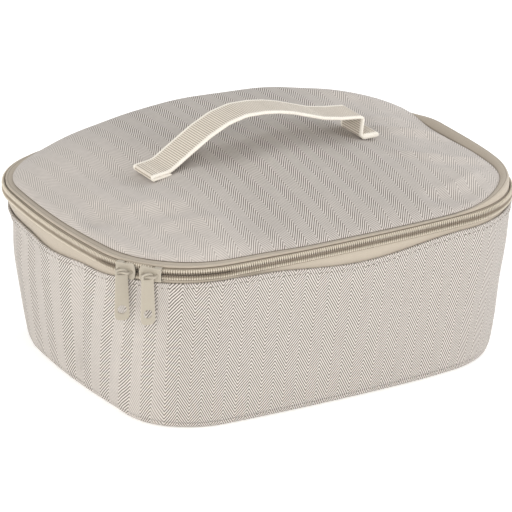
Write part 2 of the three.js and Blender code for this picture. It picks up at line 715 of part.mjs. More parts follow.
// Carry handle: a strap swept along a line over the lid. Its left end folds under itself and its right
// end drops and turns outward, and both tails lie on the lid.
function handleLine() {
  const fold = STRAP_FOLD_RADIUS;
  const bend = STRAP_BEND_RADIUS;
  const leftFloor = strapFloorAt(HANDLE_LEFT);
  const leftTail = strapFloorAt(HANDLE_LEFT + HANDLE_TAIL);
  const rightFloor = strapFloorAt(HANDLE_RIGHT + bend);
  const rightTail = strapFloorAt(HANDLE_RIGHT + HANDLE_TAIL);
  const half = Math.PI / 2;
  const v = (x, z) => new THREE.Vector2(x, z);
  const apex = v(HANDLE_APEX, ZIP_HEIGHT + LID_RISE + HANDLE_RISE);
  const leftTop = v(HANDLE_LEFT, leftFloor + 2 * fold);
  const rightTop = v(HANDLE_RIGHT - bend, rightFloor + HANDLE_RIGHT_RISE);
  const climb = (apex.x - leftTop.x) * STRAP_SWEEP;
  const fall = (rightTop.x - apex.x) * STRAP_SWEEP;
  const line = new THREE.CurvePath();
  line.add(new THREE.LineCurve(v(HANDLE_LEFT + HANDLE_TAIL, leftTail), v(HANDLE_LEFT, leftFloor)));
  line.add(arcPath(HANDLE_LEFT, leftFloor + fold, fold, -half, -3 * half));
  const climbOut = v(leftTop.x + climb, leftTop.y);
  const climbIn = v(apex.x - climb, apex.y);
  const fallOut = v(apex.x + fall, apex.y);
  const fallIn = v(rightTop.x - fall, rightTop.y);
  line.add(new THREE.CubicBezierCurve(leftTop, climbOut, climbIn, apex));
  line.add(new THREE.CubicBezierCurve(apex, fallOut, fallIn, rightTop));
  line.add(arcPath(rightTop.x, rightTop.y - bend, bend, half, 0));
  line.add(new THREE.LineCurve(v(HANDLE_RIGHT, rightTop.y - bend), v(HANDLE_RIGHT, rightFloor + bend)));
  line.add(arcPath(HANDLE_RIGHT + bend, rightFloor + bend, bend, Math.PI, 3 * half));
  line.add(new THREE.LineCurve(v(HANDLE_RIGHT + bend, rightFloor), v(HANDLE_RIGHT + HANDLE_TAIL, rightTail)));
  return line;
}

function handleStrap() {
  const curves = handleLine().curves;
  const counts = [1, 6, 12, 12, 4, 1, 4, 1];
  const samples = curves.flatMap((curve, i) => {
    return Array.from({ length: counts[i] }, (_, k) => ({ curve, t: k / counts[i] }));
  });
  samples.push({ curve: curves.at(-1), t: 1 });
  const edge = STRAP_THICKNESS / 4;
  const halfThick = STRAP_THICKNESS / 2;
  const halfWide = STRAP_WIDTH / 2;
  const section = [
    [-halfWide, -edge],
    [-halfWide + edge, -halfThick],
    [halfWide - edge, -halfThick],
    [halfWide, -edge],
    [halfWide, edge],
    [halfWide - edge, halfThick],
    [-halfWide + edge, halfThick],
    [-halfWide, edge],
  ];
  const rings = samples.map(({ curve, t }) => {
    const at = curve.getPoint(t);
    const along = curve.getTangent(t);
    return section.map(([across, out]) => {
      return new THREE.Vector3(at.x - along.y * out, across, at.y + along.x * out);
    });
  });
  const centre = (sample) => sample.curve.getPoint(sample.t);
  const first = new THREE.Vector3(centre(samples[0]).x, 0, centre(samples[0]).y);
  const last = new THREE.Vector3(centre(samples.at(-1)).x, 0, centre(samples.at(-1)).y);
  return skin(rings, { first, last });
}

// Materials
function material(color, roughness, metalness = 0) {
  return new THREE.MeshStandardMaterial({ color, roughness, metalness });
}

const herringbone = material(0xc9c3bc, 0.92);
const zipTape = material(0xc7bdae, 0.85);
const coilNylon = material(0xd2c8b8, 0.55);
const webbing = material(0xcec7bc, 0.88);
const bindingTape = material(0xb9b1a5, 0.85);
const paddingFoam = material(0xe8e6df, 0.95);
const linerFilm = material(0xc4c7ca, 0.4);
const pullEnamel = material(0xd3cabb, 0.5);

const bag = new THREE.Group();

function addPiece(group, name, geometry, look) {
  const mesh = new THREE.Mesh(geometry, look);
  mesh.name = name;
  group.add(mesh);
  return mesh;
}

function addTub() {
  const tub = new THREE.Group();
  addPiece(tub, 'side_wall', sideWall(), herringbone);
  addPiece(tub, 'base_panel', basePanel(), herringbone);
  addPiece(tub, 'wall_foam', wallFoam(), paddingFoam);
  addPiece(tub, 'base_foam', slab(linerFace(foamBottom), foamBottom, baseFoamTop), paddingFoam);
  addPiece(tub, 'wall_liner', wallLiner(), linerFilm);
  addPiece(tub, 'base_liner', slab(linerFace(baseFoamTop), baseFoamTop + SEAM_GAP, baseLinerTop), linerFilm);
  addPiece(tub, 'rim_binding', rimBinding(), bindingTape);
  addPiece(tub, 'body_zip_tape', stripPiece(zipStations(0), bodyTapeSection), zipTape);
  addPiece(tub, 'body_zip_coil', coilRow(-1), coilNylon);
  addPiece(tub, 'body_stop_left', zipStop(-1, 'left'), coilNylon);
  addPiece(tub, 'body_stop_right', zipStop(-1, 'right'), coilNylon);
  addPiece(tub, 'hinge_strip', stripPiece(hingeStations(), hingeSection), zipTape);
  bag.add(tub);
}

function addLid() {
  const lid = new THREE.Group();
  addPiece(lid, 'lid_panel', lidCloth.geometry, herringbone);
  addPiece(lid, 'lid_foam', lidLayer([LID_PADDING_INSET], lidFoamDepth, FOAM), paddingFoam);
  addPiece(lid, 'lid_liner', lidLayer([LID_PADDING_INSET], lidLinerDepth, LINER), linerFilm);
  addPiece(lid, 'lid_binding', lidBinding(), bindingTape);
  addPiece(lid, 'lid_zip_tape', stripPiece(zipStations(0), lidTapeSection), zipTape);
  addPiece(lid, 'lid_zip_coil', coilRow(1), coilNylon);
  addPiece(lid, 'lid_stop_left', zipStop(1, 'left'), coilNylon);
  addPiece(lid, 'lid_stop_right', zipStop(1, 'right'), coilNylon);
  addPiece(lid, 'handle_strap', handleStrap(), webbing);
  bag.add(lid);
}

// A slider stands square to the chain, with its nose towards the other one, and its pull hangs straight down
// from the bridge, turned a little so that the rod passes through the flat eye
function addSlider(name, angle, noseSign) {
  const slider = new THREE.Group();
  const place = pointAt(stationAt(sliderArc, angle), 0);
  slider.position.set(place.x, place.y, ZIP_HEIGHT);
  slider.rotation.z = angle + Math.PI / 2;
  const upright = new THREE.Group();
  upright.rotation.x = Math.PI / 2;
  slider.add(upright);

  const casting = addPiece(upright, `slider_${name}`, sliderGeometry(), pullEnamel);
  casting.rotation.z = noseSign > 0 ? 0 : Math.PI;
  const tab = addPiece(upright, `pull_${name}`, pullGeometry(), pullEnamel);
  tab.position.z = bridgeHeight;
  tab.rotation.y = PULL_TURN;
  bag.add(slider);
}

addTub();
addLid();
addSlider('left', sliderAngles.left, 1);
addSlider('right', sliderAngles.right, -1);

export default bag;
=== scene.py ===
import math

import bmesh
import bpy
import numpy as np
from mathutils import Matrix, Vector


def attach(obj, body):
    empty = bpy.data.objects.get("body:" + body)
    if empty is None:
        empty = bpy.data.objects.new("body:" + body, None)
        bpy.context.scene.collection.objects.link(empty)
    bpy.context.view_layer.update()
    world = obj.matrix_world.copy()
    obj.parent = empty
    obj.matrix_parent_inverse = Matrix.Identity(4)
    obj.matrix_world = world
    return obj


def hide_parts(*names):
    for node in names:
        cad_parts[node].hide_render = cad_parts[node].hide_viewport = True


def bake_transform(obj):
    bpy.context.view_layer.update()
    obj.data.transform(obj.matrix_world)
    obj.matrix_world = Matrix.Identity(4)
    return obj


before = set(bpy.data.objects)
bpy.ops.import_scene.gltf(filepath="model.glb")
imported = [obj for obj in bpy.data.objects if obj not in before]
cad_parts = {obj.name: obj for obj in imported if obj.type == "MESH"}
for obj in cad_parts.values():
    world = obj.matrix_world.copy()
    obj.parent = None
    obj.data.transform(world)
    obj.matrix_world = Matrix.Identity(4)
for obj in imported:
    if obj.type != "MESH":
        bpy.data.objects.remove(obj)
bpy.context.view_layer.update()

MM = 0.001

# The bag's own sizes, as in the part's source
RIM_LENGTH = 290 * MM
RIM_DEPTH = 233 * MM
ZIP_HEIGHT = 105.5 * MM
FRONT_BOW_RADIUS = 1290 * MM
SIDE_BOW_RADIUS = 495 * MM
CORNER_RADIUS = 62 * MM
WALL_TAPER = 14.5 * MM
CLOTH = 0.9 * MM
TAPE = 0.7 * MM
FOAM = 6 * MM
LINER = 0.5 * MM
BINDING = 0.9 * MM
SEAM_GAP = 0.3 * MM
BASE_EDGE_RADIUS = 4 * MM
ZIP_FLAT = 5.8 * MM
LEAN_TOP = ZIP_HEIGHT - ZIP_FLAT
FOAM_TOP = LEAN_TOP - BINDING - SEAM_GAP
FOAM_BOTTOM = CLOTH + SEAM_GAP
LID_RISE = 30 * MM
LID_CREST = np.array((10 * MM, 35 * MM))
TAPE_PARTING = 1.6 * MM
HINGE_LENGTH = 150 * MM
HINGE_WIDTH = 41 * MM
STOP_LENGTH = 3 * MM
SLIDER_PLACE = 0.349
SLIDER_LENGTH = 14 * MM
SLIDER_NOSE_GAP = 1.4 * MM
STRAP_WIDTH = 25 * MM
STRAP_THICKNESS = 1.8 * MM
STRAP_RIB = 1.5 * MM

# How much of its rectangle the bag's rounded outline fills
ROUNDED_SHARE = 0.92

# Weave of the outer cloth
WALL_COLUMN = 8.1 * MM
LID_COLUMN = 7.55 * MM
WALL_PITCH = 2.4 * MM
WALL_SLOPE = 1.42
LID_PITCH = 2.6 * MM
LID_SLOPE = 1.6
LID_SKEW = 0.11
LID_WEAVE_TURN = 0.05
FRONT_PEAK = -2.6 * MM
LID_PEAK = 5.1 * MM

# Lines along the zip tape, measured from the middle of the chain; at the groove, the fold and the edge the
# tape's colour has a dark line of painted shade
TAPE_GROOVE = 3.8 * MM
TAPE_BEND = 4.9 * MM
TAPE_FOLD = 7.7 * MM
TAPE_EDGE = 10 * MM

# Mesh counts
ROUND_COLUMNS = 640
INNER_COLUMNS = 320
WALL_ROWS = 46


# Outline of the bag at the zip: eight arcs, from the middle of the back round by the left
def outline_arcs():
    front = np.array((0.0, FRONT_BOW_RADIUS - RIM_DEPTH / 2))
    side = np.array((SIDE_BOW_RADIUS - RIM_LENGTH / 2, 0.0))
    from_front = FRONT_BOW_RADIUS - CORNER_RADIUS
    from_side = SIDE_BOW_RADIUS - CORNER_RADIUS
    gap = np.linalg.norm(side - front)
    along = (from_front**2 - from_side**2 + gap**2) / (2 * gap)
    across = math.sqrt(from_front**2 - along**2)
    unit = (side - front) / gap
    corner = front + unit * along + np.array((unit[1], -unit[0])) * across
    start = math.pi + math.atan2(side[1] - corner[1], side[0] - corner[0])
    end = math.pi + math.atan2(front[1] - corner[1], front[0] - corner[0])
    half, turn, bow = math.pi / 2, 2 * math.pi, FRONT_BOW_RADIUS
    x, y = corner
    return np.array([
        (0, -front[1], bow, half, turn - end),
        (x, -y, CORNER_RADIUS, turn - end, turn - start),
        (side[0], 0, SIDE_BOW_RADIUS, turn - start, start),
        (x, y, CORNER_RADIUS, start, end),
        (0, front[1], bow, end, 3 * math.pi - end),
        (-x, y, CORNER_RADIUS, 3 * math.pi - end, 3 * math.pi - start),
        (-side[0], 0, SIDE_BOW_RADIUS, 3 * math.pi - start, math.pi + start),
        (-x, -y, CORNER_RADIUS, math.pi + start, math.pi + end),
        (0, -front[1], bow, math.pi + end, 5 * half),
    ])


ARCS = outline_arcs()
ARC_LENGTHS = ARCS[:, 2] * (ARCS[:, 4] - ARCS[:, 3])
ARC_STARTS = np.concatenate(([0.0], np.cumsum(ARC_LENGTHS)[:-1]))
OUTLINE = ARC_LENGTHS.sum()
BACK, LEFT_BACK, LEFT_SIDE, LEFT_FRONT, FRONT, RIGHT_FRONT, RIGHT_SIDE, RIGHT_BACK = range(8)


def run_at(arc, share):
    return ARC_STARTS[arc] + share * ARC_LENGTHS[arc]


def closed_runs(columns):
    return np.arange(columns) * OUTLINE / columns


def arc_and_angle(run):
    along = np.mod(run, OUTLINE)
    index = np.searchsorted(ARC_STARTS, along, side="right") - 1
    arc = ARCS[index]
    return arc, arc[..., 3] + (along - ARC_STARTS[index]) / arc[..., 2]


def outline_points(run, offset, z):
    arc, angle = arc_and_angle(run)
    reach = arc[..., 2] + offset
    x = arc[..., 0] + reach * np.cos(angle)
    y = arc[..., 1] + reach * np.sin(angle)
    return joined(x, y, z)


def outward_of(run):
    angle = arc_and_angle(run)[1]
    return np.stack((np.cos(angle), np.sin(angle), np.zeros_like(angle)), axis=-1)


def smoothstep(low, high, value):
    share = np.clip((value - low) / (high - low), 0, 1)
    return share * share * (3 - 2 * share)


def joined(*parts):
    return np.stack(np.broadcast_arrays(*parts), axis=-1)


def unit_vectors(vectors):
    return vectors / np.linalg.norm(vectors, axis=-1, keepdims=True)


def full_turn(count):
    return np.arange(count) * 2 * np.pi / count


def lengths_along(line):
    return np.concatenate(([0], np.cumsum(np.linalg.norm(np.diff(line, axis=0), axis=1))))


# Smooth value round the outline through a few marks of (arc, share of the arc, value)
def round_profile(marks, unit=1.0):
    runs = [run_at(arc, share) for arc, share, _ in marks]
    values = [value * unit for _, _, value in marks]
    runs = np.array(runs + [runs[0] + OUTLINE])
    values = np.array(values + [values[0]])

    def value_at(run):
        along = np.mod(run - runs[0], OUTLINE) + runs[0]
        index = np.clip(np.searchsorted(runs, along, side="right") - 1, 0, len(marks) - 1)
        share = (along - runs[index]) / (runs[index + 1] - runs[index])
        blend = (1 - np.cos(np.pi * share)) / 2
        return values[index] + (values[index + 1] - values[index]) * blend

    return value_at


# Gentle uneven waves from a fixed seed, about -1 to 1
def ripples(a, b, length, seed, count=7):
    draw = np.random.default_rng(seed)
    total = 0.0
    for _ in range(count):
        turn = draw.uniform(0, 2 * np.pi)
        wave = 2 * np.pi / (length * draw.uniform(0.7, 1.5))
        total = total + np.sin(wave * (a * np.cos(turn) + b * np.sin(turn)) + draw.uniform(0, 2 * np.pi))
    return total / math.sqrt(2 * count)


# How much of the zip tape shows below the chain, as the photograph has it
tub_band = round_profile([
    (BACK, 0.0, 10.0), (LEFT_BACK, 0.5, 13.0), (LEFT_SIDE, 0.45, 14.5), (LEFT_SIDE, 0.9, 9.5),
    (LEFT_FRONT, 0.35, 5.8), (FRONT, 0.06, 5.2), (FRONT, 0.55, 11.8), (FRONT, 0.98, 6.4),
    (RIGHT_FRONT, 0.5, 5.6), (RIGHT_SIDE, 0.5, 8.0), (RIGHT_BACK, 0.5, 9.0),
], MM)
# Edge of the lid's cloth: how far in from the chain it lies, how high and how deep it rolls down
lid_inset = round_profile([
    (BACK, 0.0, 3.0), (LEFT_BACK, 0.5, 4.6), (LEFT_SIDE, 0.5, 4.0), (LEFT_FRONT, 0.4, 6.0),
    (FRONT, 0.1, 4.2), (FRONT, 0.35, 2.8), (FRONT, 0.9, 2.0), (RIGHT_FRONT, 0.6, 6.0),
    (RIGHT_SIDE, 0.1, 8.0), (RIGHT_SIDE, 0.6, 8.0), (RIGHT_SIDE, 0.95, 3.4),
], MM)
lid_edge_rise = round_profile([
    (BACK, 0.0, 7.8), (LEFT_BACK, 0.5, 4.6), (LEFT_SIDE, 0.5, 6.2), (LEFT_FRONT, 0.4, 5.7),
    (FRONT, 0.1, 5.5), (FRONT, 0.35, 5.0), (FRONT, 0.9, 4.8), (RIGHT_FRONT, 0.6, 8.2),
    (RIGHT_SIDE, 0.1, 9.0), (RIGHT_SIDE, 0.5, 7.4), (RIGHT_SIDE, 0.9, 9.4), (RIGHT_BACK, 0.4, 7.6),
], MM)
lid_roll = round_profile([
    (BACK, 0.0, 1.0), (LEFT_SIDE, 0.3, 1.5), (LEFT_FRONT, 0.4, 2.8), (FRONT, 0.1, 2.6),
    (FRONT, 0.55, 1.9), (RIGHT_FRONT, 0.6, 1.2), (RIGHT_SIDE, 0.5, 0.7), (RIGHT_BACK, 0.5, 1.0),
], MM)
LID_ROLL_REACH = 1.5 * MM
# Where the lid's tape stands up above the cloth's edge as a rim
tape_hump = round_profile([
    (BACK, 0.0, 0.0), (FRONT, 0.92, 0.0), (RIGHT_FRONT, 0.6, 7.0), (RIGHT_SIDE, 0.1, 10.0),
    (RIGHT_SIDE, 0.6, 11.0), (RIGHT_SIDE, 0.97, 0.0),
], MM)
# How squarely the lid comes down to its edge
lid_squareness = round_profile([
    (BACK, 0.0, 8.0), (LEFT_BACK, 0.5, 3.3), (LEFT_SIDE, 0.5, 2.5), (LEFT_FRONT, 0.5, 2.35),
    (FRONT, 0.5, 2.2), (RIGHT_FRONT, 0.5, 1.7), (RIGHT_SIDE, 0.5, 1.7), (RIGHT_BACK, 0.5, 3.6),
])


# How the cloth lies on the wall: cloth per length of wall, lean of its columns, slope of its rows
# and cloth per height of wall
cloth_share = round_profile([
    (BACK, 0.0, 1.0), (LEFT_BACK, 0.6, 0.9), (LEFT_SIDE, 0.2, 0.72), (LEFT_SIDE, 0.6, 0.64),
    (LEFT_FRONT, 0.0, 0.7), (LEFT_FRONT, 0.28, 1.0), (FRONT, 0.45, 1.0), (FRONT, 0.75, 1.12),
    (RIGHT_FRONT, 0.4, 1.15), (RIGHT_SIDE, 0.5, 1.0),
])
column_lean = round_profile([
    (BACK, 0.0, 0.0), (LEFT_SIDE, 0.3, 0.1), (LEFT_FRONT, 0.0, 0.26), (LEFT_FRONT, 0.3, 0.16),
    (LEFT_FRONT, 0.6, 0.06), (FRONT, 0.13, 0.04), (FRONT, 0.5, 0.08), (RIGHT_FRONT, 0.5, 0.06),
])
row_slope = round_profile([
    (BACK, 0.0, 0.0), (LEFT_SIDE, 0.6, 0.22), (LEFT_FRONT, 0.1, 0.0), (LEFT_FRONT, 0.5, -0.1),
    (FRONT, 0.13, -0.2), (FRONT, 0.5, -0.15), (FRONT, 0.8, -0.06), (RIGHT_SIDE, 0.5, 0.0),
])
row_share = round_profile([
    (BACK, 0.0, 1.0), (LEFT_SIDE, 0.4, 1.0), (LEFT_FRONT, 0.02, 0.87), (LEFT_FRONT, 0.35, 0.88),
    (LEFT_FRONT, 0.75, 1.0), (FRONT, 0.5, 1.0),
])


def summed_from_front(profile):
    run = np.linspace(0, OUTLINE, 2001)
    steps = np.diff(run) * profile((run[1:] + run[:-1]) / 2)
    total = np.concatenate(([0.0], np.cumsum(steps)))
    total -= np.interp(OUTLINE / 2, run, total)
    return lambda at: np.interp(at, run, total)


cloth_along = summed_from_front(cloth_share)
row_climb = summed_from_front(row_slope)


def wall_uv(run, z):
    from_middle = z - ZIP_HEIGHT / 2
    along = cloth_along(run) - FRONT_PEAK - column_lean(run) * from_middle
    return joined(along, row_share(run) * from_middle - row_climb(run))


# Meshes from rows of points. Rows run upward or inward and columns run along the outline.
def grid_mesh(name, rows, uvs=None, loop_rows=False, loop_columns=False, first_pole=None, last_pole=None):
    count, width = rows.shape[:2]
    points = rows.reshape(-1, 3)
    row_steps = count if loop_rows else count - 1
    column_steps = width if loop_columns else width - 1
    i, j = np.meshgrid(np.arange(row_steps), np.arange(column_steps), indexing="ij")
    up, on = (i + 1) % count, (j + 1) % width
    quads = np.stack((i * width + j, i * width + on, up * width + on, up * width + j), axis=-1)
    faces = quads.reshape(-1, 4).tolist()
    if not loop_columns and loop_rows:
        faces.append([k * width for k in range(count)])
        faces.append([k * width + width - 1 for k in reversed(range(count))])
    extra = []
    for pole, row, turned in ((first_pole, 0, True), (last_pole, count - 1, False)):
        if pole is None:
            continue
        tip = len(points) + len(extra)
        extra.append(pole)
        for k in range(width):
            a, b = row * width + k, row * width + (k + 1) % width
            faces.append([tip, b, a] if turned else [a, b, tip])
    mesh = bpy.data.meshes.new(name)
    mesh.from_pydata(points.tolist() + [list(p) for p in extra], [], faces)
    if uvs is not None:
        write_uvs(mesh, uvs, count, width, row_steps, column_steps, extra)
    mesh.shade_smooth()
    mesh.update()
    return mesh


def write_uvs(mesh, uvs, count, width, row_steps, column_steps, extra):
    wide = uvs.shape[1]
    layer = mesh.uv_layers.new(name="cloth")
    values = np.zeros((len(mesh.loops), 2))
    i, j = np.meshgrid(np.arange(row_steps), np.arange(column_steps), indexing="ij")
    up = (i + 1) % count
    on = j + 1 if wide > width else (j + 1) % width
    corners = np.stack((uvs[i, j], uvs[i, on], uvs[up, on], uvs[up, j]), axis=2).reshape(-1, 2)
    values[: len(corners)] = corners
    flat = uvs[:, :width].reshape(-1, 2)
    start = len(corners)
    index = np.array([loop.vertex_index for loop in mesh.loops[start:]], int)
    if len(index):
        inside = np.minimum(index, len(flat) - 1)
        values[start:] = flat[inside]
        for k, pole in enumerate(extra):
            values[start:][index == len(flat) + k] = pole[:2]
    layer.data.foreach_set("uv", values.ravel())


def grid_normals(rows, loop_columns=True):
    if loop_columns:
        along = np.roll(rows, -1, axis=1) - np.roll(rows, 1, axis=1)
    else:
        along = np.gradient(rows, axis=1)
    upward = np.gradient(rows, axis=0)
    normal = np.cross(along, upward)
    return normal / np.maximum(np.linalg.norm(normal, axis=-1, keepdims=True), 1e-12)


def section_rows(run, section):
    return np.array([outline_points(run, offset, z) for offset, z in section])


def new_object(name, data):
    made = bpy.data.objects.new(name, data)
    bpy.context.scene.collection.objects.link(made)
    return made


def add_piece(name, mesh, body, finish, replaced=()):
    piece = new_object(name, mesh)
    if finish is not None:
        mesh.materials.append(finish)
    if body is not None:
        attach(piece, body)
    if replaced:
        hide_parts(*replaced)
    return piece


# Node trees, for finishes and for repeats
class NodeBuilder:
    def __init__(self, tree):
        self.tree = tree

    def node(self, kind, inputs=None, **settings):
        made = self.tree.nodes.new(kind)
        for key, value in settings.items():
            setattr(made, key, value)
        for key, value in (inputs or {}).items():
            self.feed(made.inputs[key], value)
        return made

    def feed(self, socket, value):
        if isinstance(value, bpy.types.NodeSocket):
            self.tree.links.new(value, socket)
        else:
            socket.default_value = value

    def math(self, operation, a, b=0.0, c=0.0):
        return self.node("ShaderNodeMath", {0: a, 1: b, 2: c}, operation=operation).outputs[0]

    def ramp(self, value, low, high, to_low=0.0, to_high=1.0, smooth=True):
        inputs = {"Value": value, "From Min": low, "From Max": high, "To Min": to_low, "To Max": to_high}
        kind = "SMOOTHSTEP" if smooth else "LINEAR"
        return self.node("ShaderNodeMapRange", inputs, interpolation_type=kind).outputs["Result"]

    def noise(self, vector, scale, detail=2.0, rough=0.5):
        inputs = {"Vector": vector, "Scale": scale, "Detail": detail, "Roughness": rough}
        return self.node("ShaderNodeTexNoise", inputs).outputs["Fac"]

    def mix(self, factor, a, b, blend="MIX"):
        made = self.node("ShaderNodeMix", {"Factor": factor}, data_type="RGBA", blend_type=blend)
        self.feed(made.inputs[6], a)
        self.feed(made.inputs[7], b)
        return made.outputs[2]

    def split(self, vector):
        return self.node("ShaderNodeSeparateXYZ", {0: vector}).outputs

    def join(self, x, y, z):
        return self.node("ShaderNodeCombineXYZ", {0: x, 1: y, 2: z}).outputs[0]

    def group(self, tree, inputs):
        return self.node("ShaderNodeGroup", inputs, node_tree=tree).outputs

    def cloth_uv(self):
        return self.node("ShaderNodeUVMap", uv_map="cloth").outputs[0]

    def place(self):
        return self.node("ShaderNodeTexCoord").outputs["Object"]


SOCKETS = {"value": "NodeSocketFloat", "vector": "NodeSocketVector", "colour": "NodeSocketColor"}


def new_group(name, inputs, outputs):
    tree = bpy.data.node_groups.new(name, "ShaderNodeTree")
    for label, kind in inputs.items():
        tree.interface.new_socket(label, in_out="INPUT", socket_type=SOCKETS[kind])
    for label, kind in outputs.items():
        tree.interface.new_socket(label, in_out="OUTPUT", socket_type=SOCKETS[kind])
    shade = NodeBuilder(tree)
    return tree, shade, shade.node("NodeGroupInput").outputs, shade.node("NodeGroupOutput").inputs


def colour(red, green, blue):
    def linear(value):
        share = value / 255
        return share / 12.92 if share <= 0.04045 else ((share + 0.055) / 1.055) ** 2.4

    return (linear(red), linear(green), linear(blue), 1.0)


# Loose fibres and slubs: a tone that wanders about 1 and a fine height, for every woven finish
def yarn_fuzz_group():
    inputs = {"Place": "vector", "Fibre": "value", "Slub": "value", "Amount": "value"}
    tree, shade, given, made = new_group("yarn_fuzz", inputs, {"Tone": "value", "Height": "value"})
    fibre = shade.noise(given["Place"], given["Fibre"], 3.0, 0.6)
    slub = shade.noise(given["Place"], given["Slub"], 2.0, 0.5)
    both = shade.math("ADD", shade.math("MULTIPLY", fibre, 0.65), shade.math("MULTIPLY", slub, 0.35))
    swing = shade.math("MULTIPLY", shade.math("SUBTRACT", both, 0.5), given["Amount"])
    shade.feed(made["Tone"], shade.math("ADD", swing, 1.0))
    shade.feed(made["Height"], fibre)
    return tree


# Chevron lines in columns, with the single yarns on them
def herringbone_group():
    inputs = {"Cloth": "vector", "Column": "value", "Pitch": "value", "Slope": "value", "Skew": "value",
              "Fade": "value", "Even": "value"}
    tree, shade, given, made = new_group("herringbone_weave", inputs, {"Dark": "value", "Height": "value"})
    along = shade.split(given["Cloth"])
    wander = shade.math("SUBTRACT", shade.noise(given["Cloth"], 90.0, 2.0), 0.5)
    across = shade.math("PINGPONG", along["X"], given["Column"])
    chevron = shade.math("MULTIPLY_ADD", across, given["Slope"], along["Y"])
    chevron = shade.math("SUBTRACT", chevron, shade.math("MULTIPLY", along["X"], given["Skew"]))
    phase = shade.math("DIVIDE", chevron, given["Pitch"])
    phase = shade.math("MULTIPLY_ADD", wander, 0.35, phase)
    saw = shade.math("MULTIPLY", shade.math("PINGPONG", phase, 0.5), 2.0)
    float_yarn = shade.math("PINGPONG", shade.math("DIVIDE", along["X"], 0.00058), 0.5)
    broken = shade.math("MULTIPLY_ADD", float_yarn, 0.22, saw)
    dark = shade.ramp(broken, 0.48, 0.80)
    turn = shade.math("DIVIDE", shade.math("MULTIPLY", along["X"], math.pi), given["Column"])
    falling = shade.ramp(shade.math("SINE", turn), -0.3, 0.3)
    blurred = shade.math("MULTIPLY", falling, given["Fade"])
    to_even = shade.math("SUBTRACT", given["Even"], dark)
    shade.feed(made["Dark"], shade.math("MULTIPLY_ADD", to_even, blurred, dark))
    crown = shade.math("MULTIPLY", shade.math("ABSOLUTE", shade.math("SUBTRACT", saw, 0.55)), 1.4)
    shade.feed(made["Height"], shade.math("MULTIPLY_ADD", float_yarn, 0.5, crown))
    return tree


# Rubbed or soiled edges: broken patches where an edge mask is high
def edge_rub_group():
    inputs = {"Place": "vector", "Edge": "value", "Scale": "value", "Amount": "value"}
    tree, shade, given, made = new_group("edge_rub", inputs, {"Rubbed": "value"})
    patch = shade.noise(given["Place"], given["Scale"], 4.0, 0.65)
    broken = shade.ramp(shade.math("ADD", patch, shade.math("MULTIPLY", given["Edge"], 0.45)), 0.62, 0.95)
    shade.feed(made["Rubbed"], shade.math("MULTIPLY", broken, given["Amount"]))
    return tree


# Fine diagonal or crosswise rib of a woven tape
def tape_rib_group():
    inputs = {"Cloth": "vector", "Pitch": "value", "Lean": "value"}
    tree, shade, given, made = new_group("tape_rib", inputs, {"Rib": "value"})
    along = shade.split(given["Cloth"])
    line = shade.math("MULTIPLY_ADD", along["Y"], given["Lean"], along["X"])
    rib = shade.math("PINGPONG", shade.math("DIVIDE", line, given["Pitch"]), 0.5)
    shade.feed(made["Rib"], shade.math("MULTIPLY", rib, 2.0))
    return tree


YARN_FUZZ = yarn_fuzz_group()
HERRINGBONE = herringbone_group()
EDGE_RUB = edge_rub_group()
TAPE_RIB = tape_rib_group()


# A finish of the bag: a material, with the groups above laid on its surface
class Finish(NodeBuilder):
    def __init__(self, name, roughness, **plain):
        self.material = bpy.data.materials.new(name)
        self.material.use_nodes = True
        super().__init__(self.material.node_tree)
        self.surface = next(n for n in self.tree.nodes if n.type == "BSDF_PRINCIPLED")
        self.set("Roughness", roughness)
        for label, value in plain.items():
            self.set(label.replace("_", " "), value)

    def set(self, label, value):
        self.feed(self.surface.inputs[label], value)

    def fuzz(self, place, fibre, slub, amount):
        return self.group(YARN_FUZZ, {"Place": place, "Fibre": fibre, "Slub": slub, "Amount": amount})

    def rub(self, place, edge, scale, amount):
        inputs = {"Place": place, "Edge": edge, "Scale": scale, "Amount": amount}
        return self.group(EDGE_RUB, inputs)["Rubbed"]

    def rib(self, cloth, pitch, lean):
        return self.group(TAPE_RIB, {"Cloth": cloth, "Pitch": pitch, "Lean": lean})["Rib"]

    # A thin line of painted shade where a value comes near a mark
    def shade_line_at(self, value, mark, near, far, strength):
        away = self.math("ABSOLUTE", self.math("SUBTRACT", value, mark))
        return self.ramp(away, near, far, strength, 0.0)

    def scaled(self, tone, base):
        return self.mix(1.0, base, self.join(tone, tone, tone), "MULTIPLY")

    def tint(self, tone, base):
        self.set("Base Color", self.scaled(tone, base))

    def roughen(self, value, low, high, at_low, at_high):
        self.set("Roughness", self.ramp(value, low, high, at_low, at_high))

    def bump(self, height, strength, distance):
        inputs = {"Height": height, "Strength": strength, "Distance": distance}
        self.set("Normal", self.node("ShaderNodeBump", inputs).outputs[0])


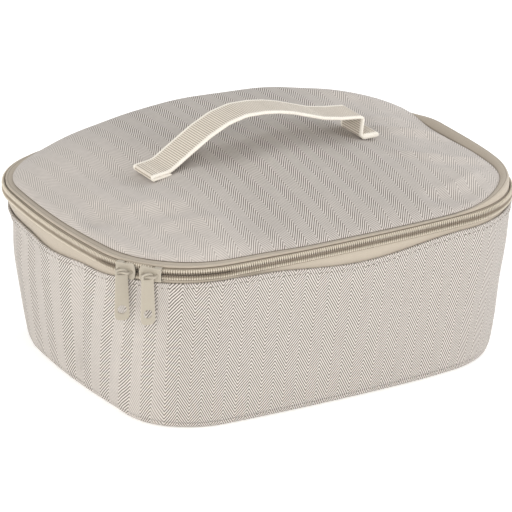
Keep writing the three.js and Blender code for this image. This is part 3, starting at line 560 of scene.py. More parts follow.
# Outer cloth: its weave is blurred on falling lines, more at the left end, and fainter toward both ends as
# painted light that makes the lid's sloping ends paler
def herringbone_cloth(name, weave_sizes, left_fade, fade, even, painted_end_light, mottle, cream, grey):
    finish = Finish(name, 0.92, Sheen_Weight=0.12, Sheen_Roughness=0.5)
    cloth = finish.cloth_uv()
    along = finish.split(finish.place())["X"]
    blur = finish.ramp(along, -128 * MM, -110 * MM, left_fade, fade)
    weave = finish.group(HERRINGBONE, {"Cloth": cloth, "Fade": blur, "Even": even, **weave_sizes})
    # Painted light: toward both ends the weave fades, so the lid's sloping ends read paler
    from_middle = finish.math("ABSOLUTE", finish.math("SUBTRACT", along, 5 * MM))
    end_lightening = finish.ramp(from_middle, 40 * MM, 115 * MM, 1.0, 1.0 - painted_end_light)
    fuzz = finish.fuzz(cloth, fibre=1500.0, slub=220.0, amount=0.5)
    rub = finish.rub(finish.place(), edge=0.0, scale=24.0, amount=mottle)
    yarns = finish.mix(finish.math("MULTIPLY", weave["Dark"], end_lightening), cream, grey)
    worn = finish.mix(rub, finish.scaled(fuzz["Tone"], yarns), cream)
    finish.set("Base Color", worn)
    finish.roughen(fuzz["Height"], 0.2, 0.8, 0.84, 0.97)
    height = finish.math("MULTIPLY_ADD", fuzz["Height"], 0.4, weave["Height"])
    finish.bump(height, 0.5, 0.25 * MM)
    return finish.material


def zip_tape_finish():
    finish = Finish("zip_tape", 0.85, Sheen_Weight=0.1)
    cloth = finish.cloth_uv()
    rib = finish.rib(cloth, pitch=0.75 * MM, lean=0.6)
    fuzz = finish.fuzz(cloth, fibre=1800.0, slub=160.0, amount=0.25)
    above = finish.split(cloth)["Y"]
    # Painted shade: dark lines in the tape's colour at its groove, along its fold and at the lid cloth's edge
    groove = finish.shade_line_at(finish.math("ABSOLUTE", above), TAPE_GROOVE, 0.15 * MM, 0.45 * MM, 1.0)
    fold = finish.shade_line_at(above, TAPE_FOLD, 0.05 * MM, 0.3 * MM, 0.55)
    seam = finish.shade_line_at(above, TAPE_EDGE, 0.2 * MM, 0.55 * MM, 0.85)
    groove = finish.math("MAXIMUM", groove, finish.math("MAXIMUM", fold, seam))
    base = finish.mix(rib, colour(166, 155, 140), colour(187, 177, 163))
    base = finish.mix(groove, base, colour(104, 91, 77))
    finish.tint(fuzz["Tone"], base)
    finish.roughen(rib, 0.0, 1.0, 0.9, 0.74)
    height = finish.math("MULTIPLY_ADD", fuzz["Height"], 0.3, rib)
    finish.bump(height, 0.35, 0.12 * MM)
    return finish.material


def webbing_finish():
    finish = Finish("handle_webbing", 0.88, Sheen_Weight=0.15)
    cloth = finish.cloth_uv()
    across = finish.math("ABSOLUTE", finish.split(cloth)["Y"])
    selvedge = finish.ramp(across, STRAP_WIDTH / 2 - 2.5 * MM, STRAP_WIDTH / 2 - 2.1 * MM)
    rib = finish.rib(cloth, pitch=STRAP_RIB, lean=0.0)
    pick = finish.rib(cloth, pitch=0.9 * MM, lean=1.1)
    fuzz = finish.fuzz(cloth, fibre=1500.0, slub=260.0, amount=0.3)
    turned = finish.split(cloth)
    lengthwise = finish.join(turned["Y"], turned["X"], 0.0)
    cord = finish.rib(lengthwise, pitch=2.0 * MM, lean=0.0)
    raised = finish.ramp(rib, 0.12, 0.55)
    groove = finish.math("MULTIPLY", raised, finish.ramp(cord, 0.0, 0.35, 0.62, 1.0))
    body = finish.mix(groove, colour(156, 144, 128), colour(222, 214, 202))
    edge = finish.mix(pick, colour(226, 219, 206), colour(246, 242, 234))
    finish.tint(fuzz["Tone"], finish.mix(selvedge, body, edge))
    finish.roughen(fuzz["Height"], 0.2, 0.8, 0.8, 0.95)
    height = finish.math("MULTIPLY_ADD", fuzz["Height"], 0.3, pick)
    finish.bump(height, 0.4, 0.15 * MM)
    return finish.material


def binding_finish():
    finish = Finish("binding_tape", 0.86, Sheen_Weight=0.1)
    cloth = finish.cloth_uv()
    rib = finish.rib(cloth, pitch=0.95 * MM, lean=0.0)
    fuzz = finish.fuzz(cloth, fibre=1600.0, slub=180.0, amount=0.3)
    base = finish.mix(rib, colour(158, 148, 134), colour(190, 180, 165))
    finish.tint(fuzz["Tone"], base)
    finish.roughen(rib, 0.0, 1.0, 0.92, 0.78)
    finish.bump(rib, 0.5, 0.15 * MM)
    return finish.material


def nylon_finish(name, base_colour, deep_colour, head_shade_colour=None):
    finish = Finish(name, 0.5, Specular_IOR_Level=0.4)
    place = finish.place()
    fuzz = finish.fuzz(place, fibre=2400.0, slub=300.0, amount=0.3)
    soil = finish.rub(place, edge=0.3, scale=120.0, amount=0.5)
    base = finish.mix(soil, base_colour, deep_colour)
    # A darker tone on the loops' heads: painted shade where the rows interlock
    if head_shade_colour:
        head = finish.node("ShaderNodeAttribute", attribute_name="head").outputs["Fac"]
        base = finish.mix(head, base, head_shade_colour)
    finish.tint(fuzz["Tone"], base)
    finish.roughen(fuzz["Height"], 0.2, 0.8, 0.42, 0.62)
    finish.bump(fuzz["Height"], 0.2, 0.05 * MM)
    return finish.material


def enamel_finish():
    finish = Finish("zip_enamel", 0.42, Specular_IOR_Level=0.45)
    place = finish.place()
    edge = finish.node("ShaderNodeAttribute", attribute_name="rim").outputs["Fac"]
    wear = finish.rub(place, edge=edge, scale=380.0, amount=0.55)
    mottle = finish.fuzz(place, fibre=900.0, slub=140.0, amount=0.12)
    base = finish.mix(wear, colour(168, 160, 146), colour(186, 179, 166))
    finish.tint(mottle["Tone"], base)
    finish.roughen(mottle["Height"], 0.2, 0.8, 0.36, 0.5)
    finish.bump(mottle["Height"], 0.12, 0.06 * MM)
    return finish.material


def liner_finish():
    finish = Finish("liner_film", 0.35, Specular_IOR_Level=0.6)
    cloth = finish.cloth_uv()
    grid = finish.rib(cloth, pitch=6 * MM, lean=1.0)
    counter = finish.rib(cloth, pitch=6 * MM, lean=-1.0)
    crinkle = finish.fuzz(cloth, fibre=260.0, slub=45.0, amount=0.16)
    pressed = finish.math("MAXIMUM", finish.ramp(grid, 0.86, 1.0), finish.ramp(counter, 0.86, 1.0))
    base = finish.mix(pressed, colour(206, 208, 208), colour(184, 187, 188))
    finish.tint(crinkle["Tone"], base)
    finish.roughen(crinkle["Height"], 0.2, 0.8, 0.26, 0.48)
    finish.set("Metallic", finish.ramp(crinkle["Height"], 0.0, 1.0, 0.3, 0.4))
    height = finish.math("MULTIPLY_ADD", pressed, -0.8, crinkle["Height"])
    finish.bump(height, 0.35, 0.5 * MM)
    return finish.material


def foam_finish():
    finish = Finish("padding_foam", 0.95)
    place = finish.place()
    cells = finish.node("ShaderNodeTexVoronoi", {"Vector": place, "Scale": 900.0}).outputs["Distance"]
    fuzz = finish.fuzz(place, fibre=700.0, slub=90.0, amount=0.2)
    base = finish.mix(cells, colour(238, 236, 229), colour(214, 211, 202))
    finish.tint(fuzz["Tone"], base)
    finish.bump(cells, 0.4, 0.3 * MM)
    return finish.material


def thread_finish(name, light, deep):
    finish = Finish(name, 0.7, Sheen_Weight=0.1)
    place = finish.place()
    twist = finish.rib(place, pitch=0.3 * MM, lean=0.8)
    fuzz = finish.fuzz(place, fibre=3000.0, slub=200.0, amount=0.25)
    base = finish.mix(twist, deep, light)
    finish.tint(fuzz["Tone"], base)
    finish.bump(twist, 0.3, 0.06 * MM)
    return finish.material


WALL_WEAVE = {"Column": WALL_COLUMN, "Pitch": WALL_PITCH, "Slope": WALL_SLOPE, "Skew": 0.0}
LID_WEAVE = {"Column": LID_COLUMN, "Pitch": LID_PITCH, "Slope": LID_SLOPE, "Skew": LID_SKEW}
CREAM_YARN = colour(207, 200, 194)
WALL_CLOTH = herringbone_cloth("herringbone_wall", WALL_WEAVE, left_fade=0.6, fade=0.05, even=0.27,
                               painted_end_light=0.0, mottle=0.12, cream=CREAM_YARN, grey=colour(84, 77, 70))
LID_CLOTH = herringbone_cloth("herringbone_lid", LID_WEAVE, left_fade=0.62, fade=0.62, even=0.35,
                              painted_end_light=0.4, mottle=0.12, cream=CREAM_YARN, grey=colour(90, 83, 76))
ZIP_TAPE = zip_tape_finish()
WEBBING = webbing_finish()
BINDING_TAPE = binding_finish()
# The third colour is the loops' heads, darker as painted shade where the rows interlock
COIL_NYLON = nylon_finish("coil_nylon", colour(206, 197, 182), colour(172, 161, 145), colour(146, 134, 119))
# The cord's and the bed's dark tones are painted shade at the chain's middle and between its loops
COIL_CORD_SHADED = nylon_finish("coil_cord_shaded", colour(112, 101, 89), colour(88, 79, 69))
COIL_BED_SHADED = nylon_finish("coil_bed_shaded", colour(160, 149, 132), colour(136, 125, 109))
ENAMEL = enamel_finish()
LINER_FILM = liner_finish()
FOAM_CELLS = foam_finish()
CREAM_THREAD = thread_finish("cream_thread", colour(233, 227, 215), colour(190, 181, 166))
HEM_THREAD = thread_finish("hem_thread", colour(128, 119, 109), colour(98, 90, 81))


# Tub: cloth wall, turned-up base, zip tape, padding, liner and rim binding
def tape_face(z):
    return np.where(z >= LEAN_TOP, 0.0, -WALL_TAPER * (1 - z / LEAN_TOP))


# How far the foot of the wall stands out beyond an even taper
foot_out = round_profile([
    (LEFT_BACK, 0.5, 0.0), (LEFT_SIDE, 0.8, -0.8), (LEFT_FRONT, 0.45, 2.6), (FRONT, 0.1, 4.0),
    (FRONT, 0.8, 5.0), (RIGHT_FRONT, 0.4, 2.6), (RIGHT_SIDE, 0.3, 1.0), (RIGHT_BACK, 0.5, 0.0),
], MM)


# Where the wall draws in under the zip
draw_in = round_profile([
    (LEFT_BACK, 0.2, 0.0), (LEFT_BACK, 0.8, 3.0), (LEFT_SIDE, 0.15, 2.6), (LEFT_SIDE, 0.5, 0.0),
    (RIGHT_BACK, 0.5, 0.0),
], MM)


def spread(run, z):
    waist = np.exp(-(((z - 84 * MM) / (18 * MM)) ** 2)) * smoothstep(0, 14 * MM, LEAN_TOP + 3 * MM - z)
    return foot_out(run) * np.clip(1 - z / LEAN_TOP, 0, 1) ** 1.3 - draw_in(run) * waist


def wall_swell(run, z):
    held = np.sin(np.pi * np.clip(z / (ZIP_HEIGHT - 8 * MM), 0, 1)) ** 0.8
    on_left = np.exp(-(((run - run_at(LEFT_SIDE, 0.6)) / (45 * MM)) ** 2))
    fold_line = run_at(LEFT_SIDE, 0.72) + 0.35 * (z - 60 * MM)
    fold = on_left * np.exp(-(((run - fold_line) / (10 * MM)) ** 2)) * 2.6 * MM
    buckles = ripples(run, z * 0.35, 48 * MM, 11) * 0.55 * MM
    sag = ripples(run * 0.6, z, 70 * MM, 5) * 0.5 * MM
    return held * (buckles + sag - fold + 0.9 * MM)


HEM_FOLD = 6.2 * MM
HEM_EXTRA = 0.6 * MM
HEM_STITCH = 3.2 * MM


def hem_extra(below_top):
    fold = HEM_EXTRA * (1 - smoothstep(HEM_FOLD - 0.8 * MM, HEM_FOLD + 0.4 * MM, below_top))
    groove = 0.35 * MM * np.exp(-(((below_top - HEM_STITCH) / (0.55 * MM)) ** 2))
    return fold - groove


# Where the hem stands off the tape
HEM_LIP_REACH = 10 * MM
hem_lip = round_profile([
    (LEFT_BACK, 0.4, 0.0), (LEFT_SIDE, 0.05, 0.6), (LEFT_SIDE, 0.3, 0.5), (LEFT_SIDE, 0.7, 0.0),
    (FRONT, 0.0, 0.0), (FRONT, 0.09, 1.3), (FRONT, 0.2, 0.0),
], MM)


def lip_at(run, below_top):
    return hem_lip(run) * (1 - smoothstep(0, HEM_LIP_REACH, below_top))


def wall_face(run, z):
    top = ZIP_HEIGHT - tub_band(run)
    seam = 0.7 * MM * np.exp(-((z - BASE_EDGE_RADIUS) / (1.6 * MM)))
    cloth = SEAM_GAP + CLOTH + wall_swell(run, z) + hem_extra(top - z) - seam
    return tape_face(z) + spread(run, z) + cloth + lip_at(run, top - z)


def tub_cloth():
    run = closed_runs(ROUND_COLUMNS)
    top = ZIP_HEIGHT - tub_band(run)
    bottom = BASE_EDGE_RADIUS + SEAM_GAP
    nose = 0.55 * MM
    shares = np.concatenate((np.linspace(0, 0.9, WALL_ROWS)[:-1], np.linspace(0.9, 1, 16)))
    section, heights = [], []
    for share in shares:
        z = bottom + share * (top - nose - bottom)
        section.append((wall_face(run, z), z))
        heights.append(z)
    for turn in (0.35, 0.7, 1.0):
        angle = turn * np.pi / 2
        z = top - nose + nose * np.sin(angle)
        section.append((wall_face(run, top - nose) - nose * (1 - np.cos(angle)), z))
        heights.append(z)
    inner_heights = (top, top - HEM_FOLD, (top + bottom) / 2, bottom)
    for z in inner_heights:
        section.append((tape_face(z) + spread(run, z) + SEAM_GAP * 0.7 + lip_at(run, top - z), z - 0.0 * run))
        heights.append(z + 0.0 * run)
    rows = section_rows(run, section)
    lifted = np.array([np.append(h, h[0]) for h in heights])
    uvs = wall_uv(np.append(run, OUTLINE)[None, :], lifted)
    mesh = grid_mesh("tub_cloth", rows, uvs, loop_rows=True, loop_columns=True)
    piece = add_piece("tub_cloth", mesh, "tub", WALL_CLOTH, ("side_wall",))


def base_cloth():
    run = closed_runs(ROUND_COLUMNS)
    face = -WALL_TAPER + SEAM_GAP + CLOTH
    radius = BASE_EDGE_RADIUS
    turn = np.linspace(np.pi / 2, 0, 8)
    thick = CLOTH * 0.9
    under, inside = [], []
    for a in turn:
        offset = face - radius + radius * np.sin(a) - 0.4 * MM * np.sin(a) ** 8
        z = radius * (1 - np.cos(a))
        under.append((offset, z))
        inside.append((offset - thick * math.sin(a), z + thick * math.cos(a)))
    out = spread(run, radius)
    ring = section_rows(run, [(o + out, z + 0.0 * run) for o, z in under])
    lining = section_rows(run, [(o + out, z + 0.0 * run) for o, z in inside])
    scales = (0.8, 0.5, 0.2)
    floor = [ring[-1] * (s, s, 1) for s in scales]
    ceiling = [lining[-1] * (s, s, 1) for s in scales]
    rows = np.array([*ceiling[::-1], *lining[::-1], *ring, *floor])[::-1]
    closed = np.concatenate((rows, rows[:, :1]), axis=1)
    uvs = closed[..., :2] + 0.0
    turned_up = slice(len(floor) + 1, len(floor) + len(ring))
    edge_heights = radius * (1 - np.pi / 2 + turn[::-1])
    uvs[turned_up] = wall_uv(np.append(run, OUTLINE)[None, :], edge_heights[1:, None])
    mesh = grid_mesh("base_cloth", rows, uvs, loop_columns=True,
                     first_pole=(0, 0, 0), last_pole=(0, 0, thick))
    piece = add_piece("base_cloth", mesh, "tub", WALL_CLOTH, ("base_panel",))


def foam_face(z):
    return tape_face(z) - TAPE - SEAM_GAP


def foam_back(z):
    return foam_face(z) - FOAM


def liner_face(z):
    return foam_back(z) - SEAM_GAP


def liner_back(z):
    return liner_face(z) - LINER


def bowl(name, outer, inner, floor, ceiling, top, wrinkle, finish, replaced, foot=0.0):
    run = closed_runs(INNER_COLUMNS)
    round_foot = 3 * MM
    lift = 0.0 * run
    section = [(outer(floor + round_foot) - round_foot + foot * spread(run, floor), floor + lift)]
    for z in np.linspace(floor + round_foot, top, 18):
        section.append((outer(z) + foot * spread(run, z), z + lift))
    for z in np.linspace(top, ceiling + round_foot, 24):
        section.append((inner(z) + wrinkle * ripples(run, z + lift, 26 * MM, 3), z + lift))
    section.append((inner(ceiling) - round_foot + lift, ceiling + lift))
    rows = section_rows(run, section)
    scales = (0.75, 0.5, 0.25)
    under = [rows[0] * (s, s, 1) for s in reversed(scales)]
    over = [rows[-1] * (s, s, 1) for s in scales]
    for sheet_row in over:
        sheet_row[:, 2] += 0.6 * wrinkle * (1 + ripples(sheet_row[:, 0], sheet_row[:, 1], 40 * MM, 8))
    rows = np.array([*under, *rows, *over])
    closed = np.concatenate((rows, rows[:, :1]), axis=1)
    round_run = np.append(run, OUTLINE)
    uvs = np.stack((np.broadcast_to(round_run, closed.shape[:2]), closed[..., 2]), axis=-1).copy()
    flat_rows = list(range(len(under) + 1)) + list(range(len(rows) - len(over) - 1, len(rows)))
    for k in flat_rows:
        uvs[k] = closed[k, :, :2]
    mesh = grid_mesh(name, rows, uvs, loop_columns=True,
                     first_pole=(0, 0, floor), last_pole=(0, 0, ceiling + 0.6 * wrinkle))
    return add_piece(name, mesh, "tub", finish, replaced)


def tub_padding_and_liner():
    foam_ceiling = FOAM_BOTTOM + FOAM
    liner_floor = foam_ceiling + SEAM_GAP
    padding = bowl("tub_padding", foam_face, foam_back, FOAM_BOTTOM, foam_ceiling, FOAM_TOP,
                   0.0, FOAM_CELLS, ("wall_foam", "base_foam"), foot=1.0)
    liner = bowl("tub_liner", liner_face, liner_back, liner_floor, liner_floor + LINER, FOAM_TOP,
                 0.35 * MM, LINER_FILM, ("wall_liner", "base_liner"))
    floor_inset = 44 * MM
    inside = (RIM_LENGTH - floor_inset) * (RIM_DEPTH - floor_inset) * ROUNDED_SHARE
    inside += ROUNDED_SHARE * OUTLINE * FOAM_TOP


def oval_band_uv(run, section):
    steps = np.cumsum([0.0] + [math.dist(section[k], section[k - 1]) for k in range(1, len(section))])
    closed_run = np.append(run, OUTLINE)
    return joined(closed_run[None, :], steps[:, None])


def rim_binding():
    run = closed_runs(INNER_COLUMNS)
    outer = -TAPE - SEAM_GAP - 0.1 * MM
    inner = outer - FOAM - SEAM_GAP - LINER - 0.4 * MM
    middle = (outer + inner) / 2
    bottom, top = FOAM_TOP + SEAM_GAP, FOAM_TOP + SEAM_GAP + BINDING
    flap = 9 * MM
    lean = WALL_TAPER / LEAN_TOP
    section = [
        (outer, bottom), (outer, top - 0.3 * MM), (outer - 0.3 * MM, top),
        (middle, top + 0.1 * MM), (inner + 0.2 * MM, top),
        (inner - 0.4 * MM, top - 0.4 * MM), (inner - 0.5 * MM, bottom - 1 * MM),
        (inner - 0.5 * MM - lean * flap / 2, bottom - flap / 2),
        (inner - 0.4 * MM - lean * flap, bottom - flap),
        (inner + 0.1 * MM - lean * flap, bottom - flap),
        (inner + 0.15 * MM, bottom - 1 * MM), (inner + 0.2 * MM, bottom),
    ]
    rows = section_rows(run, [(o + 0.0 * run, z + 0.0 * run) for o, z in section])
    mesh = grid_mesh("rim_binding", rows, oval_band_uv(run, section), loop_rows=True, loop_columns=True)
    add_piece("rim_binding_tape", mesh, "tub", BINDING_TAPE, ("rim_binding",))
    return inner - 0.62 * MM - lean * 0.75 * flap, bottom - 0.75 * flap


ZIP_END = HINGE_LENGTH / 2


def zip_runs(trim, count):
    return np.linspace(ZIP_END + trim, OUTLINE - ZIP_END - trim, count)


# Zip tape of the lid: upright beside the chain, then leaning in to the cloth's edge and on under the cloth
def lid_tape_rows(run, roll=0.0):
    rows, _ = lid_rows(run)
    normals = grid_normals(rows, loop_columns=False)
    covered = rows - normals * (CLOTH + SEAM_GAP)
    bend = np.minimum(TAPE_BEND, lid_edge_rise(run) - 0.9 * MM)
    start = 0.0 if roll else TAPE_PARTING
    outer = []
    for share in np.linspace(0, 1, 10):
        d = start + (bend - start) * share
        swell = roll * np.cos(np.clip(d / ZIP_FLAT, 0, 1) * np.pi / 2)
        outer.append(outline_points(run, swell, ZIP_HEIGHT + d))
    knee, edge = outer[-1], covered[0]
    lead = knee + outward_of(run) * 0.4 * MM
    lead[:, 2] += np.maximum(0.6 * (edge[:, 2] - knee[:, 2]), 0.8 * MM) + tape_hump(run)
    for share in np.linspace(0, 1, 13)[1:]:
        outer.append((1 - share) ** 2 * knee + 2 * share * (1 - share) * lead + share**2 * edge)
    outer += [covered[k] for k in range(2, 12, 3)]
    return np.array(outer)


def strip_rows(outer):
    inner = outer - grid_normals(outer, loop_columns=False) * TAPE
    return np.concatenate((outer, inner[::-1][::2]))


# Tape UVs: along the run, and up or down from the middle of the chain
def strip_uvs(run, distance):
    rows = np.concatenate((distance, distance[::-1][::2]))
    return joined(run[None, :], rows[:, None])


def zip_tapes():
    run = zip_runs(0.0, 560)
    outer = lid_tape_rows(run)
    leaning = np.linspace(TAPE_BEND, TAPE_EDGE, 13)[1:]
    covered = TAPE_EDGE + np.arange(1, 5) * 2 * MM
    distance = np.concatenate((np.linspace(TAPE_PARTING, TAPE_BEND, 10), leaning, covered))
    mesh = grid_mesh("lid_zip_tape", strip_rows(outer), strip_uvs(run, distance), loop_rows=True)
    lid_tape = add_piece("lid_tape", mesh, "lid", ZIP_TAPE, ("lid_zip_tape",))

    drops = np.concatenate((np.linspace(TAPE_PARTING, ZIP_FLAT, 5), np.linspace(7 * MM, 26 * MM, 12)))[::-1]
    heights = ZIP_HEIGHT - drops
    outer = section_rows(run, [(tape_face(z) + spread(run, z), z + 0 * run) for z in heights])
    mesh = grid_mesh("tub_zip_tape", strip_rows(outer), strip_uvs(run, -drops), loop_rows=True)
    tub_tape = add_piece("tub_tape", mesh, "tub", ZIP_TAPE, ("body_zip_tape",))


# Lid: steps of its rows of points from its edge to its crest
LID_STEPS = np.concatenate(((np.arange(58) / 57) ** 1.8 * 0.97, [0.99]))

# Puckers of the lid at the strap's right foot, the right front corner and the left front:
# start, end, rise and width in mm
LID_PUCKERS = (
    ((84, 8), (128, -13), 1.9, 4.0),
    ((76, -37), (98, -55), 1.6, 4.2),
    ((94, -52), (128, -64), 1.8, 4.4),
    ((66, -88), (88, -89), 1.6, 4.2),
    ((86, -90), (112, -80), 1.6, 4.2),
    ((-112, -28), (-78, -52), 1.6, 6.0),
    ((-104, -60), (-70, -80), 1.5, 6.0),
)


def pucker(x, y, start, end, rise, width):
    start, end = np.array(start) * MM, np.array(end) * MM
    length = np.linalg.norm(end - start)
    unit = (end - start) / length
    along = ((x - start[0]) * unit[0] + (y - start[1]) * unit[1]) / length
    across = ((y - start[1]) * unit[0] - (x - start[0]) * unit[1]) / (width * MM)
    ends = np.exp(-((np.clip(np.abs(along - 0.5) - 0.3, 0, None) / 0.18) ** 2))
    ridge = np.exp(-(across**2)) - 0.7 * np.exp(-((across + 1.9) ** 2) / 1.4)
    return -rise * ends * ridge


# Dents of a lid in use: places, sizes and depths in mm
def lid_dents(x, y):
    def dimple(at_x, at_y, wide, deep):
        return np.exp(-(((x - at_x * MM) / (wide * MM)) ** 2) - ((y - at_y * MM) / (deep * MM)) ** 2)

    def streak(at_x, at_y, slope, half_wide):
        line = (y - at_y * MM) + slope * (x - at_x * MM)
        return np.exp(-((line / (half_wide * MM)) ** 2))

    feet = 3.6 * dimple(-74, 0, 26, 22) + 4.0 * dimple(74, -4, 22, 24)
    side = 4.2 * dimple(-130, -24, 9, 15) - 1.8 * dimple(-117, -42, 13, 11)
    tuck = 2.0 * dimple(-124, -14, 7, 40)
    crease = -3.0 * streak(92, 62, 0.55, 6) * dimple(98, 58, 30, 30)
    fold = -2.4 * streak(110, 20, 0.15, 7) * dimple(104, 20, 26, 26)
    ray = -2.8 * streak(94, -4, 0.25, 5) * dimple(108, -4, 28, 30)
    front = 1.7 * dimple(73, -92, 10, 8) - 1.3 * dimple(92, -85, 12, 6)
    puckers = sum(pucker(x, y, *line) for line in LID_PUCKERS)
    waves = 1.7 * ripples(x, y, 75 * MM, 21) + 0.7 * ripples(x, y, 32 * MM, 4)
    waves = waves * (1 - 0.75 * smoothstep(20 * MM, 70 * MM, y))
    return (feet + side + tuck + crease + fold + ray + front + puckers + waves) * MM


def lid_rows(run, dented=True):
    edge_rise = lid_edge_rise(run)
    edge = outline_points(run, -lid_inset(run), ZIP_HEIGHT + edge_rise)
    spoke = edge[:, :2] - LID_CREST
    reach = np.linalg.norm(spoke, axis=1)
    power = lid_squareness(run)
    roll = lid_roll(run)
    rows = []
    for step in LID_STEPS:
        share = 1 - step
        rolled = roll * (1 - np.exp(-reach * step / LID_ROLL_REACH))
        z = ZIP_HEIGHT + edge_rise + rolled + (LID_RISE - edge_rise - roll) * (1 - share**power)
        rows.append(np.column_stack((LID_CREST + spoke * share, z)))
    rows = np.array(rows)
    climb = np.linalg.norm(np.diff(rows, axis=0), axis=-1)
    last = reach * (1 - LID_STEPS[-1])
    from_crest = np.concatenate((np.cumsum(climb[::-1], axis=0)[::-1] + last, last[None, :]))
    flat = LID_CREST + (spoke / reach[:, None])[None] * from_crest[..., None]
    cos, sin = math.cos(LID_WEAVE_TURN), math.sin(LID_WEAVE_TURN)
    across = flat[..., 0] * cos - flat[..., 1] * sin - LID_PEAK
    flat = np.stack((across, flat[..., 0] * sin + flat[..., 1] * cos), axis=-1)
    held = smoothstep(0.3 * MM, 9 * MM, np.linalg.norm(rows[..., :2] - edge[None, :, :2], axis=-1))
    if dented:
        rows[..., 2] -= held * lid_dents(rows[..., 0], rows[..., 1])
    return rows, flat


LID_POINTS = lid_rows(closed_runs(INNER_COLUMNS))[0].reshape(-1, 3)


def lid_height(x, y):
    nearest = np.argmin(np.hypot(LID_POINTS[:, 0] - x, LID_POINTS[:, 1] - y))
    return float(LID_POINTS[nearest, 2])


def lid_layer(name, columns, depth, thickness, start, finish, replaced):
    run = closed_runs(columns)
    rows, flat = lid_rows(run)
    normals = grid_normals(lid_rows(run, dented=False)[0])
    over = (rows - normals * depth)[start:]
    under = (rows - normals * (depth + thickness))[start:]
    nose = (over[:1] + under[:1]) / 2 + (over[:1] - over[1:2]) * 0.2
    loop = np.array([*under[::-1], *nose, *over])
    plan = np.array([*flat[start:][::-1], *flat[start:start + 1], *flat[start:]])
    uvs = np.concatenate((plan, plan[:, :1]), axis=1)
    crest = rows[-1].mean(axis=0)
    mesh = grid_mesh(name, loop, uvs, loop_columns=True, first_pole=crest - (0, 0, depth + thickness),
                     last_pole=crest - (0, 0, depth))
    return add_piece(name, mesh, "lid", finish, replaced)


# Row of the lid at which its padding and lining begin
PADDING_START = 18


def lid_pieces():
    cloth = lid_layer("lid_cloth", ROUND_COLUMNS, 0.0, CLOTH, 0,
                      LID_CLOTH, ("lid_panel",))
    foam_depth = CLOTH + SEAM_GAP
    liner_depth = foam_depth + FOAM + SEAM_GAP
    padding = lid_layer("lid_padding", INNER_COLUMNS, foam_depth, FOAM, PADDING_START,
                        FOAM_CELLS, ("lid_foam",))
    liner = lid_layer("lid_liner_film", INNER_COLUMNS, liner_depth, LINER, PADDING_START,
                      LINER_FILM, ("lid_liner",))


def lid_binding():
    run = closed_runs(INNER_COLUMNS)
    rows, _ = lid_rows(run)
    normals = grid_normals(lid_rows(run, dented=False)[0])
    at = PADDING_START
    downward = unit_vectors(rows[at - 1] - rows[at])
    middle = 5.0 * MM
    half = 3.3 * MM
    turn = full_turn(14)
    section = [(middle + half * np.cos(a), 0.8 * MM + 0.5 * MM * np.sin(a)) for a in turn]
    band = np.array([rows[at] - normals[at] * depth + downward * drop for depth, drop in section])[::-1]
    mesh = grid_mesh("lid_binding", band, oval_band_uv(run, section), loop_rows=True, loop_columns=True)
    add_piece("lid_binding_tape", mesh, "lid", BINDING_TAPE, ("lid_binding",))


# Cloth hinge across the middle of the back: one strip with a soft roll
def hinge_cloth():
    run = np.linspace(-ZIP_END + SEAM_GAP, ZIP_END - SEAM_GAP, 110)
    roll = 2.4 * MM
    above = lid_tape_rows(run, roll)
    drops = np.linspace(22 * MM, 0, 26)[:-1]
    below = []
    for drop in drops:
        swell = roll * math.cos(min(drop / ZIP_FLAT, 1) * math.pi / 2)
        z = ZIP_HEIGHT - drop
        below.append(outline_points(run, float(tape_face(z)) + swell + 0 * run, z))
    outer = np.array([*below, *above])
    distance = np.linspace(0, HINGE_WIDTH, len(outer)) - RIM_DEPTH
    mesh = grid_mesh("hinge_cloth", strip_rows(outer), strip_uvs(run, distance), loop_rows=True)
    piece = add_piece("hinge_cloth", mesh, None, ZIP_TAPE, ("hinge_strip",))
    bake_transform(piece)


# Repeats along a path: a small shape set at even steps, its length along the path
# and its back to the outward side
REPEAT_INPUTS = {
    "Path": "Geometry", "Shape": "Object", "Pitch": "Float", "Unevenness": "Float", "Seed": "Int",
}


def repeat_tree(name, finish):
    tree = bpy.data.node_groups.new(name, "GeometryNodeTree")
    for label, kind in REPEAT_INPUTS.items():
        tree.interface.new_socket(label, in_out="INPUT", socket_type="NodeSocket" + kind)
    tree.interface.new_socket("Repeats", in_out="OUTPUT", socket_type="NodeSocketGeometry")
    build = NodeBuilder(tree)
    given = build.node("NodeGroupInput").outputs
    made = build.node("NodeGroupOutput").inputs
    curve = build.node("GeometryNodeMeshToCurve", {"Mesh": given["Path"]}).outputs["Curve"]
    steps = {"Curve": curve, "Length": given["Pitch"]}
    spots = build.node("GeometryNodeCurveToPoints", steps, mode="LENGTH").outputs
    outward = build.node("GeometryNodeInputNamedAttribute", {"Name": "outward"}, data_type="FLOAT_VECTOR")
    align = "FunctionNodeAlignRotationToVector"
    along = build.node(align, {"Vector": spots["Tangent"]}, axis="X").outputs["Rotation"]
    turns = {"Rotation": along, "Vector": outward.outputs["Attribute"]}
    facing = build.node(align, turns, axis="Z", pivot_axis="X").outputs["Rotation"]
    limits = {"Seed": given["Seed"]}
    for side, sign in enumerate((-1.0, 1.0)):
        tipped = {0: (sign, sign, sign), "Scale": given["Unevenness"]}
        limits[side] = build.node("ShaderNodeVectorMath", tipped, operation="SCALE").outputs[0]
    jitter = build.node("FunctionNodeRandomValue", limits, data_type="FLOAT_VECTOR").outputs[0]
    tilt = build.node("FunctionNodeEulerToRotation", {0: jitter}).outputs[0]
    turned = build.node("FunctionNodeRotateRotation", {0: facing, 1: tilt}, rotation_space="LOCAL").outputs[0]
    shape = build.node("GeometryNodeObjectInfo", {"Object": given["Shape"]}).outputs["Geometry"]
    placed = {"Points": spots["Points"], "Instance": shape, "Rotation": turned}
    copies = build.node("GeometryNodeInstanceOnPoints", placed).outputs["Instances"]
    whole = build.node("GeometryNodeRealizeInstances", {0: copies}).outputs[0]
    coloured = build.node("GeometryNodeSetMaterial", {"Geometry": whole, "Material": finish}).outputs[0]
    build.feed(made["Repeats"], coloured)
    return tree


